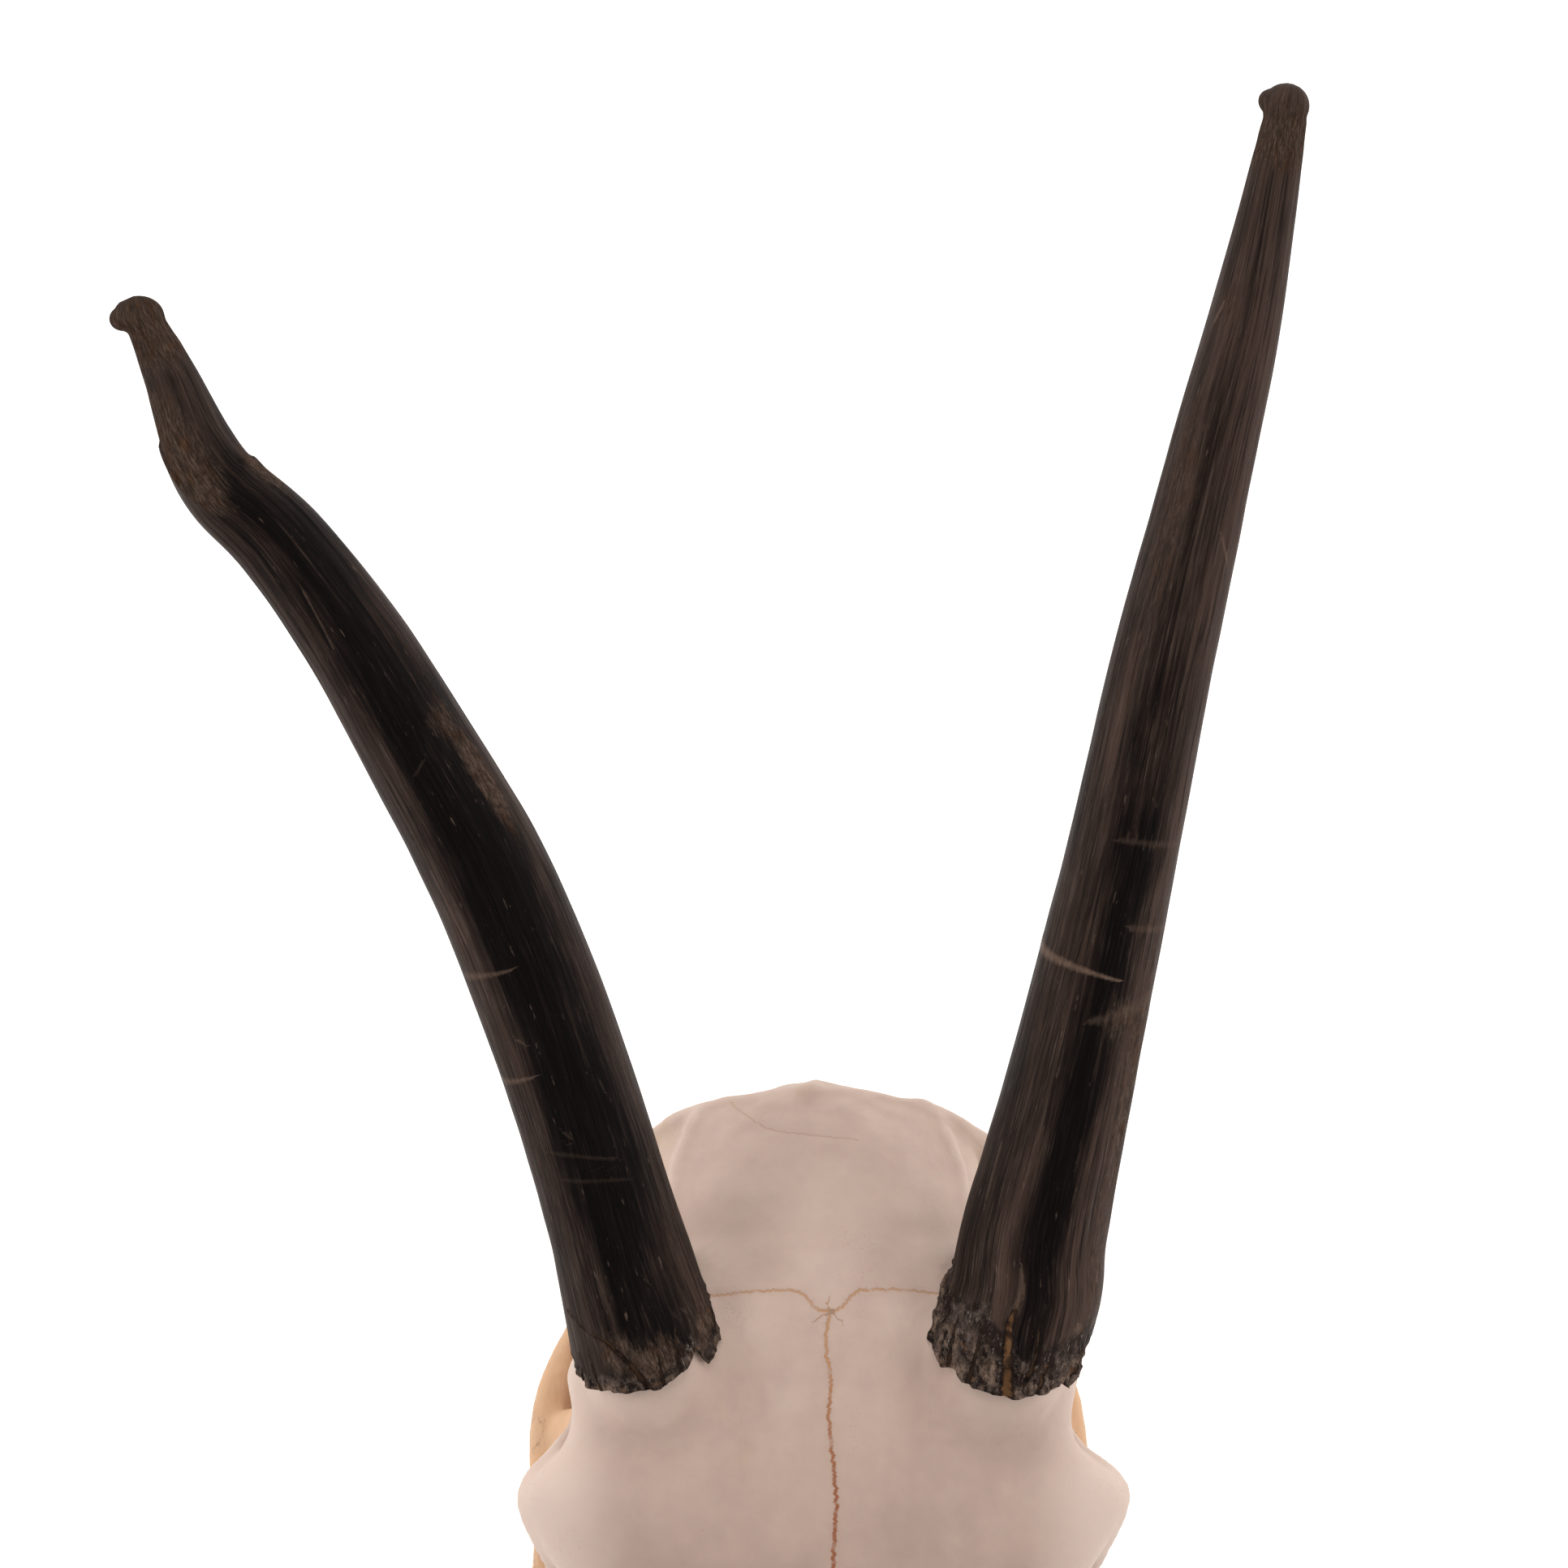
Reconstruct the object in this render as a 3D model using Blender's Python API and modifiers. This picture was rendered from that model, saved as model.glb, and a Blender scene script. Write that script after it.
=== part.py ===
"""Gemsbok skull with both horns, lying on its hindmost cheek teeth and its paroccipital processes.

Skull frame: x is sideways from the midline, y runs back from the widest line of the eye sockets,
z is up from the table. Every size is in millimetres until MM turns it into metres.
"""

import math

import bmesh
import bpy
from mathutils import Matrix, Vector

MM = 0.001

# Driving sizes
MIDLINE_X = 33.0  # the skull's midline stands this far to +X, because the bent horn reaches to -X
ORBIT_LINE_Y = -49.4  # the widest line of the eye sockets, from the middle of the whole length
ORBIT_HALF_WIDTH = 84.0  # across the rims the skull measures twice this
BROW_Z = 140.0  # height of the forehead above the table at the eye sockets
BROAD_VOXEL = 2.0  # grain in which the broad bones are fused
BROAD_SOFTENING = 12  # rounds of smoothing that melt them into each other
VOXEL = 1.7  # grain in which the slender bars and ridges are fused onto them
SKULL_TRIANGLES = 4500
SEAT_GAP = 0.35  # clearance between horn and bone, and between tooth and socket
HORN_SIDES = 20
SECTION_POINTS = 40

# Skull core along y: y, roof z, z of the widest place, floor z, half width, roof power, floor power
CORE = (
    (-206, 52, 46, 39, 17, 2.0, 3.0),
    (-190, 73, 46, 37, 18.5, 1.9, 3.0),
    (-170, 86, 46, 35, 21.5, 1.8, 3.0),
    (-150, 93.5, 46, 32, 26.5, 1.7, 3.5),
    (-125, 102, 46, 28, 35, 1.7, 5.0),
    (-100, 110, 47, 25, 42, 1.7, 6.0),
    (-75, 118, 50, 22.5, 46.5, 1.8, 6.0),
    (-52, 125, 56, 21, 48, 1.9, 6.0),
    (-30, 131.5, 66, 20, 47.5, 2.1, 6.0),
    (-12, 136.5, 80, 21, 45, 2.3, 6.0),
    (0, 140, 96, 33, 36, 2.5, 3.5),
    (18, 144, 102, 42, 34, 2.4, 2.4),
    (33, 147.5, 98, 42, 38, 2.3, 2.1),
    (47, 149, 94, 41, 43, 2.3, 2.0),
    (60, 146, 91, 40, 46, 2.3, 2.0),
    (76, 137.5, 88, 40, 47.5, 2.3, 2.0),
    (92, 127, 84, 40, 48, 2.25, 2.0),
    (103, 119, 80, 41, 47.5, 2.25, 2.0),
    (109, 114, 78, 43, 45, 2.2, 2.1),
    (113.5, 110, 76, 45, 40, 2.2, 2.1),
    (116, 106, 75, 48, 32, 2.2, 2.1),
)
# The frontal shield that roofs the eye sockets and carries the horns, as above
SHIELD = (
    (-108, 104, 100, 95, 10, 2.0, 2.0),
    (-90, 111.5, 105, 97, 22, 2.0, 2.0),
    (-72, 118, 109, 99, 34, 2.1, 2.0),
    (-55, 123.5, 112, 101, 46, 2.2, 2.0),
    (-40, 128.5, 115, 104, 58, 2.2, 2.0),
    (-26, 132.5, 118, 108, 69, 2.2, 2.0),
    (-15, 135.5, 119.5, 110, 76, 2.2, 2.0),
    (-6, 138, 120.5, 110, 81, 2.2, 2.0),
    (3, BROW_Z + 0.5, 121, 110, ORBIT_HALF_WIDTH - 0.5, 2.2, 2.0),
    (12, 143, 121.5, 109, 74.5, 2.2, 2.0),
    (23, 146, 122, 106, 69, 2.3, 2.0),
    (36, 148, 121, 102, 70.5, 2.3, 2.0),
    (50, 148.5, 118, 97, 61, 2.2, 2.0),
    (68, 141.5, 112, 90, 49, 2.2, 2.0),
)
# Cheekbone and tear bone in front of and below the eye sockets, as above
CHEEK = (
    (-96, 98, 72, 50, 34, 2.2, 2.2),
    (-74, 109, 80, 53, 45.5, 2.5, 2.5),
    (-54, 117, 86, 53, 56.5, 2.8, 2.9),
    (-38, 121.5, 90, 56, 65, 3.2, 3.3),
    (-23, 123, 92, 59, 71.5, 3.6, 3.6),
    (-8, 122, 92, 61, 75.5, 3.6, 3.6),
    (1, 119, 92, 63, 75, 3.6, 3.6),
)
# Spaces cut along y: the vault of the palate, the nose with its front opening, and the hind nostrils
PALATE_VAULT = (
    (-214, 42, 22, 5, 9, 2.5, 2.0),
    (-170, 41, 22, 5, 12, 2.5, 2.0),
    (-125, 40, 20, 5, 17, 2.5, 2.0),
    (-100, 39, 20, 5, 20, 2.5, 2.0),
    (-60, 38, 20, 5, 22.5, 2.5, 2.0),
    (-25, 37, 20, 5, 23, 2.5, 2.0),
    (-7, 37, 20, 5, 20, 2.5, 2.0),
)
NOSE = (
    (-250, 96, 62, 44, 21, 2.0, 2.5),
    (-215, 84, 60, 43, 17, 2.0, 2.5),
    (-190, 72, 58, 43, 14.5, 2.0, 2.5),
    (-170, 79, 58, 43, 15.5, 1.9, 2.5),
    (-150, 86, 60, 44, 17, 1.9, 2.5),
    (-125, 92, 62, 46, 17, 1.9, 2.5),
    (-105, 88, 66, 50, 12, 1.9, 2.5),
)
HIND_NOSTRILS = (
    (-16, 40, 36, 22, 9, 2.2, 2.2),
    (0, 52, 36, 20, 10.5, 2.2, 2.2),
    (18, 54, 38, 18, 10.5, 2.2, 2.2),
    (34, 46, 38, 18, 9, 2.2, 2.2),
)

# Bars and ridges of the right side, mirrored to the left: x, y, z, half breadth, half depth
ARCH = (
    (71, -28, 65, 5, 7),
    (74.5, -10, 66, 5, 6.5),
    (74.5, 8, 66.5, 5.4, 5.5),
    (73.5, 22, 66.5, 5.8, 5),
    (71.5, 34, 66, 6, 5),
    (68, 45, 65, 6, 5),
    (63.5, 56, 63.5, 5.6, 5.5),
    (58, 67, 61, 5, 6.5),
    (46, 80, 60, 8, 7),
)
ORBIT_RIM = (
    (81, 2, 119.5),
    (75.5, 14.5, 114),
    (74, 23, 100),
    (75, 21, 84),
    (77, 9, 73),
    (77.5, -6, 71),
    (76.5, -19, 77),
    (71.5, -26, 93),
    (71.5, -20, 109),
)
ORBIT_RIM_RADIUS = 3.5
CHEEK_CREST = (
    (41, -84, 46, 5, 6),
    (45, -71, 50, 4.5, 6),
    (52.5, -56, 57, 4.5, 6),
    (61.5, -40, 61.5, 4.5, 6),
    (70, -24, 65, 4.5, 6),
)
NUCHAL_CREST = (
    (-14, 113.8, 104.5, 3, 3.5),
    (0, 115, 106, 3, 3.5),
    (14, 113.8, 104.5, 3, 3.5),
    (31, 111.5, 101, 3, 3.5),
    (43, 107, 95.5, 3, 3.5),
    (50, 102, 86, 3.5, 4),
    (50.5, 100, 73, 4, 5),
    (46, 103, 61, 5, 6),
)
TEMPORAL_LINE = (
    (37, 62, 125.5, 2.5, 2.5),
    (40.5, 78, 116, 2.2, 2.5),
    (40, 92, 110, 2.2, 2.5),
    (37, 102, 107, 2.2, 2.5),
    (33, 111, 102.5, 2.2, 2.5),
)
PAROCCIPITAL = (
    (44, 102, 62, 8, 9),
    (42.5, 105, 46, 6, 9),
    (41, 107.5, 31, 4.4, 8),
    (40, 109, 15, 3.6, 6.2),
    (39.5, 109.5, -3, 3.2, 4),
)
PTERYGOID = (
    (14, -12, 33, 3, 9),
    (13, 8, 35, 1.9, 10),
    (13, 22, 38, 1.9, 9),
    (12, 36, 42, 2.5, 6),
)
BASE_BEAM = (
    (0, 20, 44, 9, 5),
    (0, 62, 41, 9.5, 5),
    (0, 99, 41, 12.5, 5.5),
    (0, 121, 44, 13, 6),
)
PREMAXILLA_RISE = (
    (19, -150, 72, 2.2, 3.5),
    (19.5, -168, 67, 2.4, 4.5),
    (19, -186, 60, 2.4, 4.5),
    (19, -205, 49, 2.8, 4.5),
    (19.5, -221, 41, 4, 3.4),
    (16, -236, 38, 5.5, 2.8),
    (8.5, -243, 37, 5, 2.6),
)
PREMAXILLA_EDGE = (
    (21, -155, 40, 3.5, 4.5),
    (18, -186, 38.5, 3.5, 4),
    (18, -215, 38, 4.5, 3.4),
)
PREMAXILLA_TONGUE = (
    (8, -240, 37, 4, 2.2),
    (5, -222, 37.5, 2.6, 2.2),
    (4.5, -200, 38.5, 2.6, 2.2),
    (5, -176, 39.5, 3.5, 2.2),
)
NASAL_TIP = (
    (6.5, -150, 88, 6, 3),
    (6.5, -178, 80, 5.4, 2.6),
    (6, -193, 73.5, 3.4, 2),
    (5, -204, 68, 1.5, 1.4),
)

# Rounded bosses, the right one of each pair: centre and radii
BOSSES = {
    "cheek_boss": ((42, -78, 44), (7.5, 14, 9)),
    "jaw_joint": ((51, 76, 57), (18, 11.5, 7.5)),
    "joint_stop": ((50, 86, 54), (10, 5, 9.5)),
    "ear_bulb": ((28, 82, 35), (10.5, 15.5, 13.5)),
    "ear_mound": ((43, 92, 55), (11, 10, 11)),
    "condyle": ((18.5, 111, 50), (14, 14, 13.5)),
    "condyle_top": ((23, 108, 60), (11, 11, 11)),
    "occiput": ((0, 105.5, 75), (43, 14.5, 33)),
    "nape_knob": ((0, 115.5, 99), (9, 5.5, 8)),
}
# Hollows, the right one of each pair: centre and radii
HOLLOWS = {
    "eye_socket": ((66, -1, 96.5), (34, 21.5, 21.5)),
    "temple": ((60, 48, 92), (13.5, 29, 27)),
    "spinal_hole": ((0, 121, 62), (11, 28, 10.5)),
    "ear_hole": ((54, 92, 54), (6, 3, 3)),
    "nerve_hole": ((31, -120, 60), (6, 6, 3)),
}

# Horn axes from the rim to the neck below the tip: x, y, z, radius. The left horn is bent and kinked.
HORN_AXIS = {
    "left_horn": (
        (-48.2, 38, 139, 20.6),
        (-57.6, 69.5, 155.6, 17.8),
        (-67.6, 100.3, 171.7, 16.9),
        (-79, 130.3, 187.4, 16.7),
        (-92.5, 158.8, 202.6, 16.2),
        (-108.6, 185.4, 217.4, 14.9),
        (-125.1, 210.7, 231.5, 13.5),
        (-142.8, 232.2, 244.3, 12),
        (-156.8, 244.2, 252.5, 10.9),
        (-164, 254.3, 258.2, 9.4),
        (-169.9, 268.7, 265.3, 7),
        (-176, 281, 271.4, 5),
    ),
    "right_horn": (
        (46.2, 36, 139, 21.2),
        (52.9, 52.2, 148.1, 20.8),
        (55.9, 70, 157.1, 19.5),
        (64, 104.5, 174.8, 17.2),
        (75.1, 155.7, 200.3, 15),
        (85.4, 206.2, 224.9, 13.3),
        (96.7, 255.5, 248.5, 11.3),
        (104.8, 288.1, 263.9, 9.4),
        (113.5, 334, 285, 5.7),
    ),
}
# Rounded tip knobs, each with a lobe that hooks to -X: centre and radii
HORN_TIP = {
    "left_horn": (((-178.3, 284, 273), (6.4, 4.8, 5)), ((-182.4, 283.2, 272.5), (3.4, 3, 3.2))),
    "right_horn": (((113.7, 337.6, 287), (6.1, 5.8, 5.8)), ((109.6, 338.9, 287), (3, 3, 3.2))),
}
PEDICEL_LEAD_IN = 32.0  # the pedicel swells out of the forehead over this length
PEDICEL_STUB = 17.0  # and stands this far into the horn
# Along the pedicel: share of the lead-in or the stub, share of the radius
PEDICEL_SHAPE = ((-1, 0.72), (-0.5, 0.9), (0, 1), (0.7, 0.86), (1, 0.6))
HORN_WALL = 1.9  # horn stands proud of the bone at the rim by this much
HORN_STEPS = 3
# The rims reach further down the forehead in front, and the left one also on its outer side
RIM_REACH = {"left_horn": (2.0, -2.6), "right_horn": (3.0, -0.6)}  # in front, on the inner side
RIM_WEAR = 1.3  # how unevenly the rims are worn
SHARP_ANGLE = math.radians(40)

# Cheek teeth from front to back: name, length, breadth, chewing height above the table
TEETH = (
    ("premolar_2", 12.0, 11.5, 7.0),
    ("premolar_3", 14.0, 13.5, 5.5),
    ("premolar_4", 15.0, 15.0, 4.0),
    ("molar_1", 19.5, 16.0, 2.2),
    ("molar_2", 22.0, 17.0, 0.8),
    ("molar_3", 23.0, 16.0, 0.0),
)
# Crown outlines along the row and outward: ribs outside, one lobe or two inside
PREMOLAR_OUTLINE = (
    (-1.0, 0.36), (-0.45, 0.38), (0.0, 0.48), (0.5, 0.36), (1.0, 0.42),
    (0.96, -0.05), (0.6, -0.4), (0.0, -0.5), (-0.6, -0.38), (-0.96, -0.05),
)
MOLAR_OUTLINE = (
    (-1.0, 0.42), (-0.5, 0.33), (0.0, 0.48), (0.5, 0.35), (1.0, 0.43), (0.96, -0.1),
    (0.7, -0.44), (0.35, -0.44), (0.04, -0.22), (-0.35, -0.46), (-0.7, -0.46), (-0.96, -0.1),
)
TOOTH_ROW_FRONT = (26.0, -120.0)  # x and y where the row starts
TOOTH_ROW_SPREAD = math.radians(5.0)  # each row runs outward to the back
TOOTH_GAP = 0.6
TOOTH_TOP_Z = 34.0  # root end, inside the jaw
GUM_Z = 24.0  # where the crown leaves the jaw

MATERIALS = {
    "bone": ((0.62, 0.47, 0.40), 0.62),
    "horn": ((0.022, 0.014, 0.011), 0.48),
    "tooth": ((0.66, 0.55, 0.42), 0.35),
}


def clear_scene():
    for old in list(bpy.data.objects):
        bpy.data.objects.remove(old, do_unlink=True)


def collection(name):
    made = bpy.data.collections.new(name)
    bpy.context.scene.collection.children.link(made)
    return made


def finish(name):
    colour, roughness = MATERIALS[name]
    made = bpy.data.materials.new(name)
    made.use_nodes = True
    shader = made.node_tree.nodes["Principled BSDF"]
    shader.inputs["Base Color"].default_value = (*colour, 1)
    shader.inputs["Roughness"].default_value = roughness
    shader.inputs["Metallic"].default_value = 0.0
    return made


def in_world(point):
    """A point of the skull frame in the world, in metres."""
    return (Vector(point) + Vector((MIDLINE_X, ORBIT_LINE_Y, 0))) * MM


def placed(name, mesh, home):
    made = bpy.data.objects.new(name, mesh)
    home.objects.link(made)
    return made


def as_object(name, form, home):
    """The bmesh, built in the skull frame, as an object in the world."""
    for vertex in form.verts:
        vertex.co = in_world(vertex.co)
    bmesh.ops.recalc_face_normals(form, faces=form.faces)
    mesh = bpy.data.meshes.new(name)
    form.to_mesh(mesh)
    form.free()
    return placed(name, mesh, home)


def hide_helper(helper):
    helper.hide_render = True
    helper.display_type = "WIRE"


def baked(obj):
    """Replaces the object's mesh by what its modifiers make of it."""
    bpy.context.view_layer.update()
    graph = bpy.context.evaluated_depsgraph_get()
    obj.data = bpy.data.meshes.new_from_object(obj.evaluated_get(graph))
    obj.modifiers.clear()
    return obj


def between(values, t):
    """The smooth curve through four values, at t from the second to the third."""
    p, q, r, s = values
    curve = (2 * p - 5 * q + 4 * r - s) * t**2 + (3 * q - p - 3 * r + s) * t**3
    return q + 0.5 * ((r - p) * t + curve)


def smooth_steps(points, steps):
    """Points along a smooth curve through the given ones, which may carry sizes after x, y, z."""
    ends = [points[0], *points, points[-1]]
    found = []
    for four in zip(ends, ends[1:], ends[2:], ends[3:]):
        for step in range(steps):
            found.append([between(values, step / steps) for values in zip(*four)])
    found.append(list(points[-1]))
    return found


def join_rings(form, rings, closed_loop=False):
    """Quads between rings of vertices, with a face across each end."""
    rows = [[form.verts.new(point) for point in ring] for ring in rings]
    pairs = list(zip(rows, rows[1:]))
    if closed_loop:
        pairs.append((rows[-1], rows[0]))
    for near, far in pairs:
        for i in range(len(near)):
            j = (i + 1) % len(near)
            form.faces.new((near[i], near[j], far[j], far[i]))
    if not closed_loop:
        form.faces.new(rows[0])
        form.faces.new(rows[-1][::-1])


def cross_section(y, roof, wide_z, floor, half_width, roof_power, floor_power):
    """A ring across the skull: two half superellipses that meet at the widest place."""
    ring = []
    for step in range(SECTION_POINTS):
        angle = 2 * math.pi * step / SECTION_POINTS
        side, rise = math.sin(angle), math.cos(angle)
        power, reach = (roof_power, roof - wide_z) if rise >= 0 else (floor_power, wide_z - floor)
        x = half_width * math.copysign(abs(side) ** (2 / power), side)
        z = wide_z + reach * math.copysign(abs(rise) ** (2 / power), rise)
        ring.append((x, y, z))
    return ring


def add_body(form, stations):
    join_rings(form, [cross_section(*station) for station in smooth_steps(stations, 3)])


def circle(middle, first, second, breadth, depth, sides):
    """An oval of points in the plane of the two directions."""
    angles = [2 * math.pi * i / sides for i in range(sides)]
    return [middle + first * breadth * math.cos(a) + second * depth * math.sin(a) for a in angles]


def strap_ring(point, ahead, breadth, depth, upright, sides=12):
    along = ahead.normalized()
    reference = Vector((0, 1, 0)) if upright else Vector((0, 0, 1))
    across = reference.cross(along).normalized()
    return circle(point, across, along.cross(across), breadth, depth, sides)


def add_strap(form, stations, upright=False, mirror=True, steps=3):
    """A bar of oval section along the stations, on the right side or on both."""
    path = smooth_steps(stations, steps)
    points = [Vector(station[:3]) for station in path]
    rings = []
    for i, station in enumerate(path):
        ahead = points[min(i + 1, len(points) - 1)] - points[max(i - 1, 0)]
        rings.append(strap_ring(points[i], ahead, station[3], station[4], upright))
    join_rings(form, rings)
    if mirror:
        join_rings(form, [[Vector((-p.x, p.y, p.z)) for p in ring][::-1] for ring in rings])


def add_orbit_rim(form, side):
    """The bony ring of one eye socket, a closed tube."""
    points = [Vector((side * x, y, z)) for x, y, z in ORBIT_RIM]
    middle = sum(points, Vector()) / len(points)
    count = len(points)
    loop = smooth_steps([*points[-2:], *points, *points[:2]], 4)[8 : 8 + 4 * count]
    loop = [Vector(point) for point in loop]
    rings = []
    for i, point in enumerate(loop):
        along = (loop[(i + 1) % len(loop)] - loop[i - 1]).normalized()
        out = (point - middle).normalized()
        across = along.cross(out).normalized()
        out = across.cross(along)
        rings.append(circle(point, out, across, ORBIT_RIM_RADIUS, ORBIT_RIM_RADIUS, 12))
    join_rings(form, rings, closed_loop=True)


def add_ball(form, centre, radii, segments=24):
    shape = Matrix.Translation(centre) @ Matrix.Diagonal((*radii, 1))
    bmesh.ops.create_uvsphere(form, u_segments=segments, v_segments=segments // 2, radius=1, matrix=shape)


def add_pair(form, centre, radii):
    add_ball(form, centre, radii)
    if centre[0]:
        add_ball(form, (-centre[0], *centre[1:]), radii)


def add_pedicel(form, name):
    """The bony stub that swells out of the forehead and carries one horn."""
    rim, next_one = HORN_AXIS[name][0], HORN_AXIS[name][1]
    axis = (Vector(next_one[:3]) - Vector(rim[:3])).normalized()
    radius = rim[3] - HORN_WALL
    inward = math.copysign(2.0, -rim[0])
    stations = []
    for share, scale in PEDICEL_SHAPE:
        lead = max(0, -share)
        reach = PEDICEL_LEAD_IN if share < 0 else PEDICEL_STUB
        point = Vector(rim[:3]) + axis * share * reach + Vector((inward, 0, -4)) * lead
        stations.append((*point, radius * scale, radius * scale))
    add_strap(form, stations, mirror=False)


def broad_forms():
    """The broad bones, in one mesh whose pieces still overlap."""
    form = bmesh.new()
    for body in (CORE, SHIELD, CHEEK):
        add_body(form, body)
    for centre, radii in BOSSES.values():
        add_pair(form, centre, radii)
    for name in HORN_AXIS:
        add_pedicel(form, name)
    return form


def slender_forms():
    """The bars and ridges that stand on the broad bones."""
    form = bmesh.new()
    for strap in (ARCH, CHEEK_CREST, TEMPORAL_LINE, NUCHAL_CREST, PTERYGOID, NASAL_TIP):
        add_strap(form, strap)
    for strap in (PREMAXILLA_RISE, PREMAXILLA_EDGE, PREMAXILLA_TONGUE):
        add_strap(form, strap)
    add_strap(form, PAROCCIPITAL, upright=True)
    add_strap(form, BASE_BEAM, mirror=False)
    for side in (-1, 1):
        add_orbit_rim(form, side)
    return form


def skull_hollows():
    form = bmesh.new()
    for space in (PALATE_VAULT, NOSE, HIND_NOSTRILS):
        add_body(form, space)
    for centre, radii in HOLLOWS.values():
        add_pair(form, centre, radii)
    return form


def fuse(obj, voxel, rounds):
    """Melts the overlapping forms of the object into one skin and softens it."""
    remesh = obj.modifiers.new("fuse", "REMESH")
    remesh.mode = "VOXEL"
    remesh.voxel_size = voxel * MM
    if rounds:
        soften = obj.modifiers.new("soften", "SMOOTH")
        soften.factor = 0.5
        soften.iterations = rounds
    return baked(obj)


def cut(obj, cutter, operation="DIFFERENCE"):
    boolean = obj.modifiers.new(cutter.name, "BOOLEAN")
    boolean.operation = operation
    boolean.solver = "EXACT"
    boolean.object = cutter
    return boolean


def joined(first, second):
    """Both meshes in the first object, their faces still overlapping."""
    form = bmesh.new()
    form.from_mesh(first.data)
    form.from_mesh(second.data)
    form.to_mesh(first.data)
    form.free()
    bpy.data.objects.remove(second)
    return first


def make_skull(parts, helpers):
    skull = fuse(as_object("skull", broad_forms(), parts), BROAD_VOXEL, BROAD_SOFTENING)
    joined(skull, as_object("slender_forms", slender_forms(), helpers))
    fuse(skull, VOXEL, 4)
    hollows = fuse(as_object("hollows", skull_hollows(), helpers), VOXEL, 2)
    hide_helper(hollows)
    cut(skull, hollows)
    baked(skull)
    fuse(skull, VOXEL, 3)
    thin = skull.modifiers.new("facets", "DECIMATE")
    thin.ratio = SKULL_TRIANGLES / (2 * len(skull.data.polygons))
    return baked(skull)


def prism(outline, heights):
    """A closed upright solid: the outline, scaled about its middle, at each height."""
    form = bmesh.new()
    middle = sum(outline, Vector((0, 0))) / len(outline)
    rings = []
    for z, scale in heights:
        rings.append([(*(middle + (point - middle) * scale), z) for point in outline])
    join_rings(form, rings)
    return form


def crown_outline(kind, length, breadth):
    shape = MOLAR_OUTLINE if kind.startswith("molar") else PREMOLAR_OUTLINE
    return [(u * length / 2, v * breadth) for u, v in shape]


def tooth_places():
    """Name, outline in the skull frame and chewing height of every cheek tooth."""
    for side, word in ((-1, "left"), (1, "right")):
        row = Vector((side * math.sin(TOOTH_ROW_SPREAD), math.cos(TOOTH_ROW_SPREAD)))
        out = Vector((side * math.cos(TOOTH_ROW_SPREAD), -math.sin(TOOTH_ROW_SPREAD)))
        along = 0.0
        for kind, length, breadth, chewing_z in TEETH:
            middle = Vector((side * TOOTH_ROW_FRONT[0], TOOTH_ROW_FRONT[1])) + row * (along + length / 2)
            outline = [middle + row * u + out * v for u, v in crown_outline(kind, length, breadth)]
            yield f"{word}_{kind}", outline, chewing_z
            along += length + TOOTH_GAP


def seat_teeth(skull, parts, helpers, enamel):
    """Sets each tooth in a socket of its own shape."""
    for name, outline, chewing_z in tooth_places():
        heights = ((chewing_z, 0.97), (chewing_z + 1.2, 1.0), (GUM_Z, 1.0), (TOOTH_TOP_Z, 0.86))
        tooth = as_object(name, prism(outline, heights), parts)
        tooth.data.materials.append(enamel)
        size = max((point - outline[0]).length for point in outline)
        grown = 1 + 2 * SEAT_GAP / size
        heights = ((-TOOTH_TOP_Z, grown), (GUM_Z, grown), (TOOTH_TOP_Z + SEAT_GAP, 0.86 * grown))
        socket = as_object(f"socket_of_{name}", prism(outline, heights), helpers)
        hide_helper(socket)
        cut(skull, socket)
    baked(skull)


def flatten_feet(skull, helpers):
    """The paroccipital processes end in small flats on the table."""
    form = bmesh.new()
    block = Matrix.Translation((0, 100, -20)) @ Matrix.Diagonal((140, 60, 40, 1))
    bmesh.ops.create_cube(form, size=1, matrix=block)
    below = as_object("below_the_table", form, helpers)
    hide_helper(below)
    cut(skull, below)
    baked(skull)


def rim_reach(name, angle):
    """How far the worn rim reaches past its plane at an angle from -X round over the top."""
    front, inner = RIM_REACH[name]
    toward_inner = math.copysign(math.cos(angle), HORN_AXIS[name][0][0] * math.cos(angle))
    wear = RIM_WEAR * (0.6 * math.sin(3 * angle + 0.7) + 0.4 * math.sin(7 * angle + 2.1))
    return front * math.sin(angle) + inner * toward_inner + wear


def horn_rings(name):
    path = smooth_steps(HORN_AXIS[name], HORN_STEPS)
    points = [Vector(station[:3]) for station in path]
    rings = []
    for i, station in enumerate(path):
        ahead = points[min(i + 1, len(points) - 1)] - points[max(i - 1, 0)]
        rings.append(strap_ring(points[i], ahead, station[3], station[3], False, HORN_SIDES))
    axis = (points[1] - points[0]).normalized()
    for i, point in enumerate(rings[0]):
        rings[0][i] = point - axis * rim_reach(name, 2 * math.pi * i / HORN_SIDES)
    return rings


def make_horn(name, seat, parts, helpers, keratin):
    """A sheath that is seated over its pedicel and ends in a hooked knob."""
    form = bmesh.new()
    join_rings(form, horn_rings(name))
    horn = as_object(name, form, parts)
    horn.data.materials.append(keratin)
    for number, (centre, radii) in enumerate(HORN_TIP[name]):
        form = bmesh.new()
        add_ball(form, centre, radii, 12)
        knob = as_object(f"{name}_knob_{number}", form, helpers)
        hide_helper(knob)
        cut(horn, knob, "UNION")
    cut(horn, seat)
    return baked(horn)


def make_seat(skull, helpers):
    """The skull grown by the seat gap, which hollows the foot of each horn."""
    seat = placed("seat", skull.data.copy(), helpers)
    grow = seat.modifiers.new("gap", "DISPLACE")
    grow.strength = SEAT_GAP * MM
    grow.mid_level = 0
    hide_helper(seat)
    return baked(seat)


def shade(obj):
    obj.data.shade_smooth()
    obj.data.set_sharp_from_angle(angle=SHARP_ANGLE)


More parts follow.
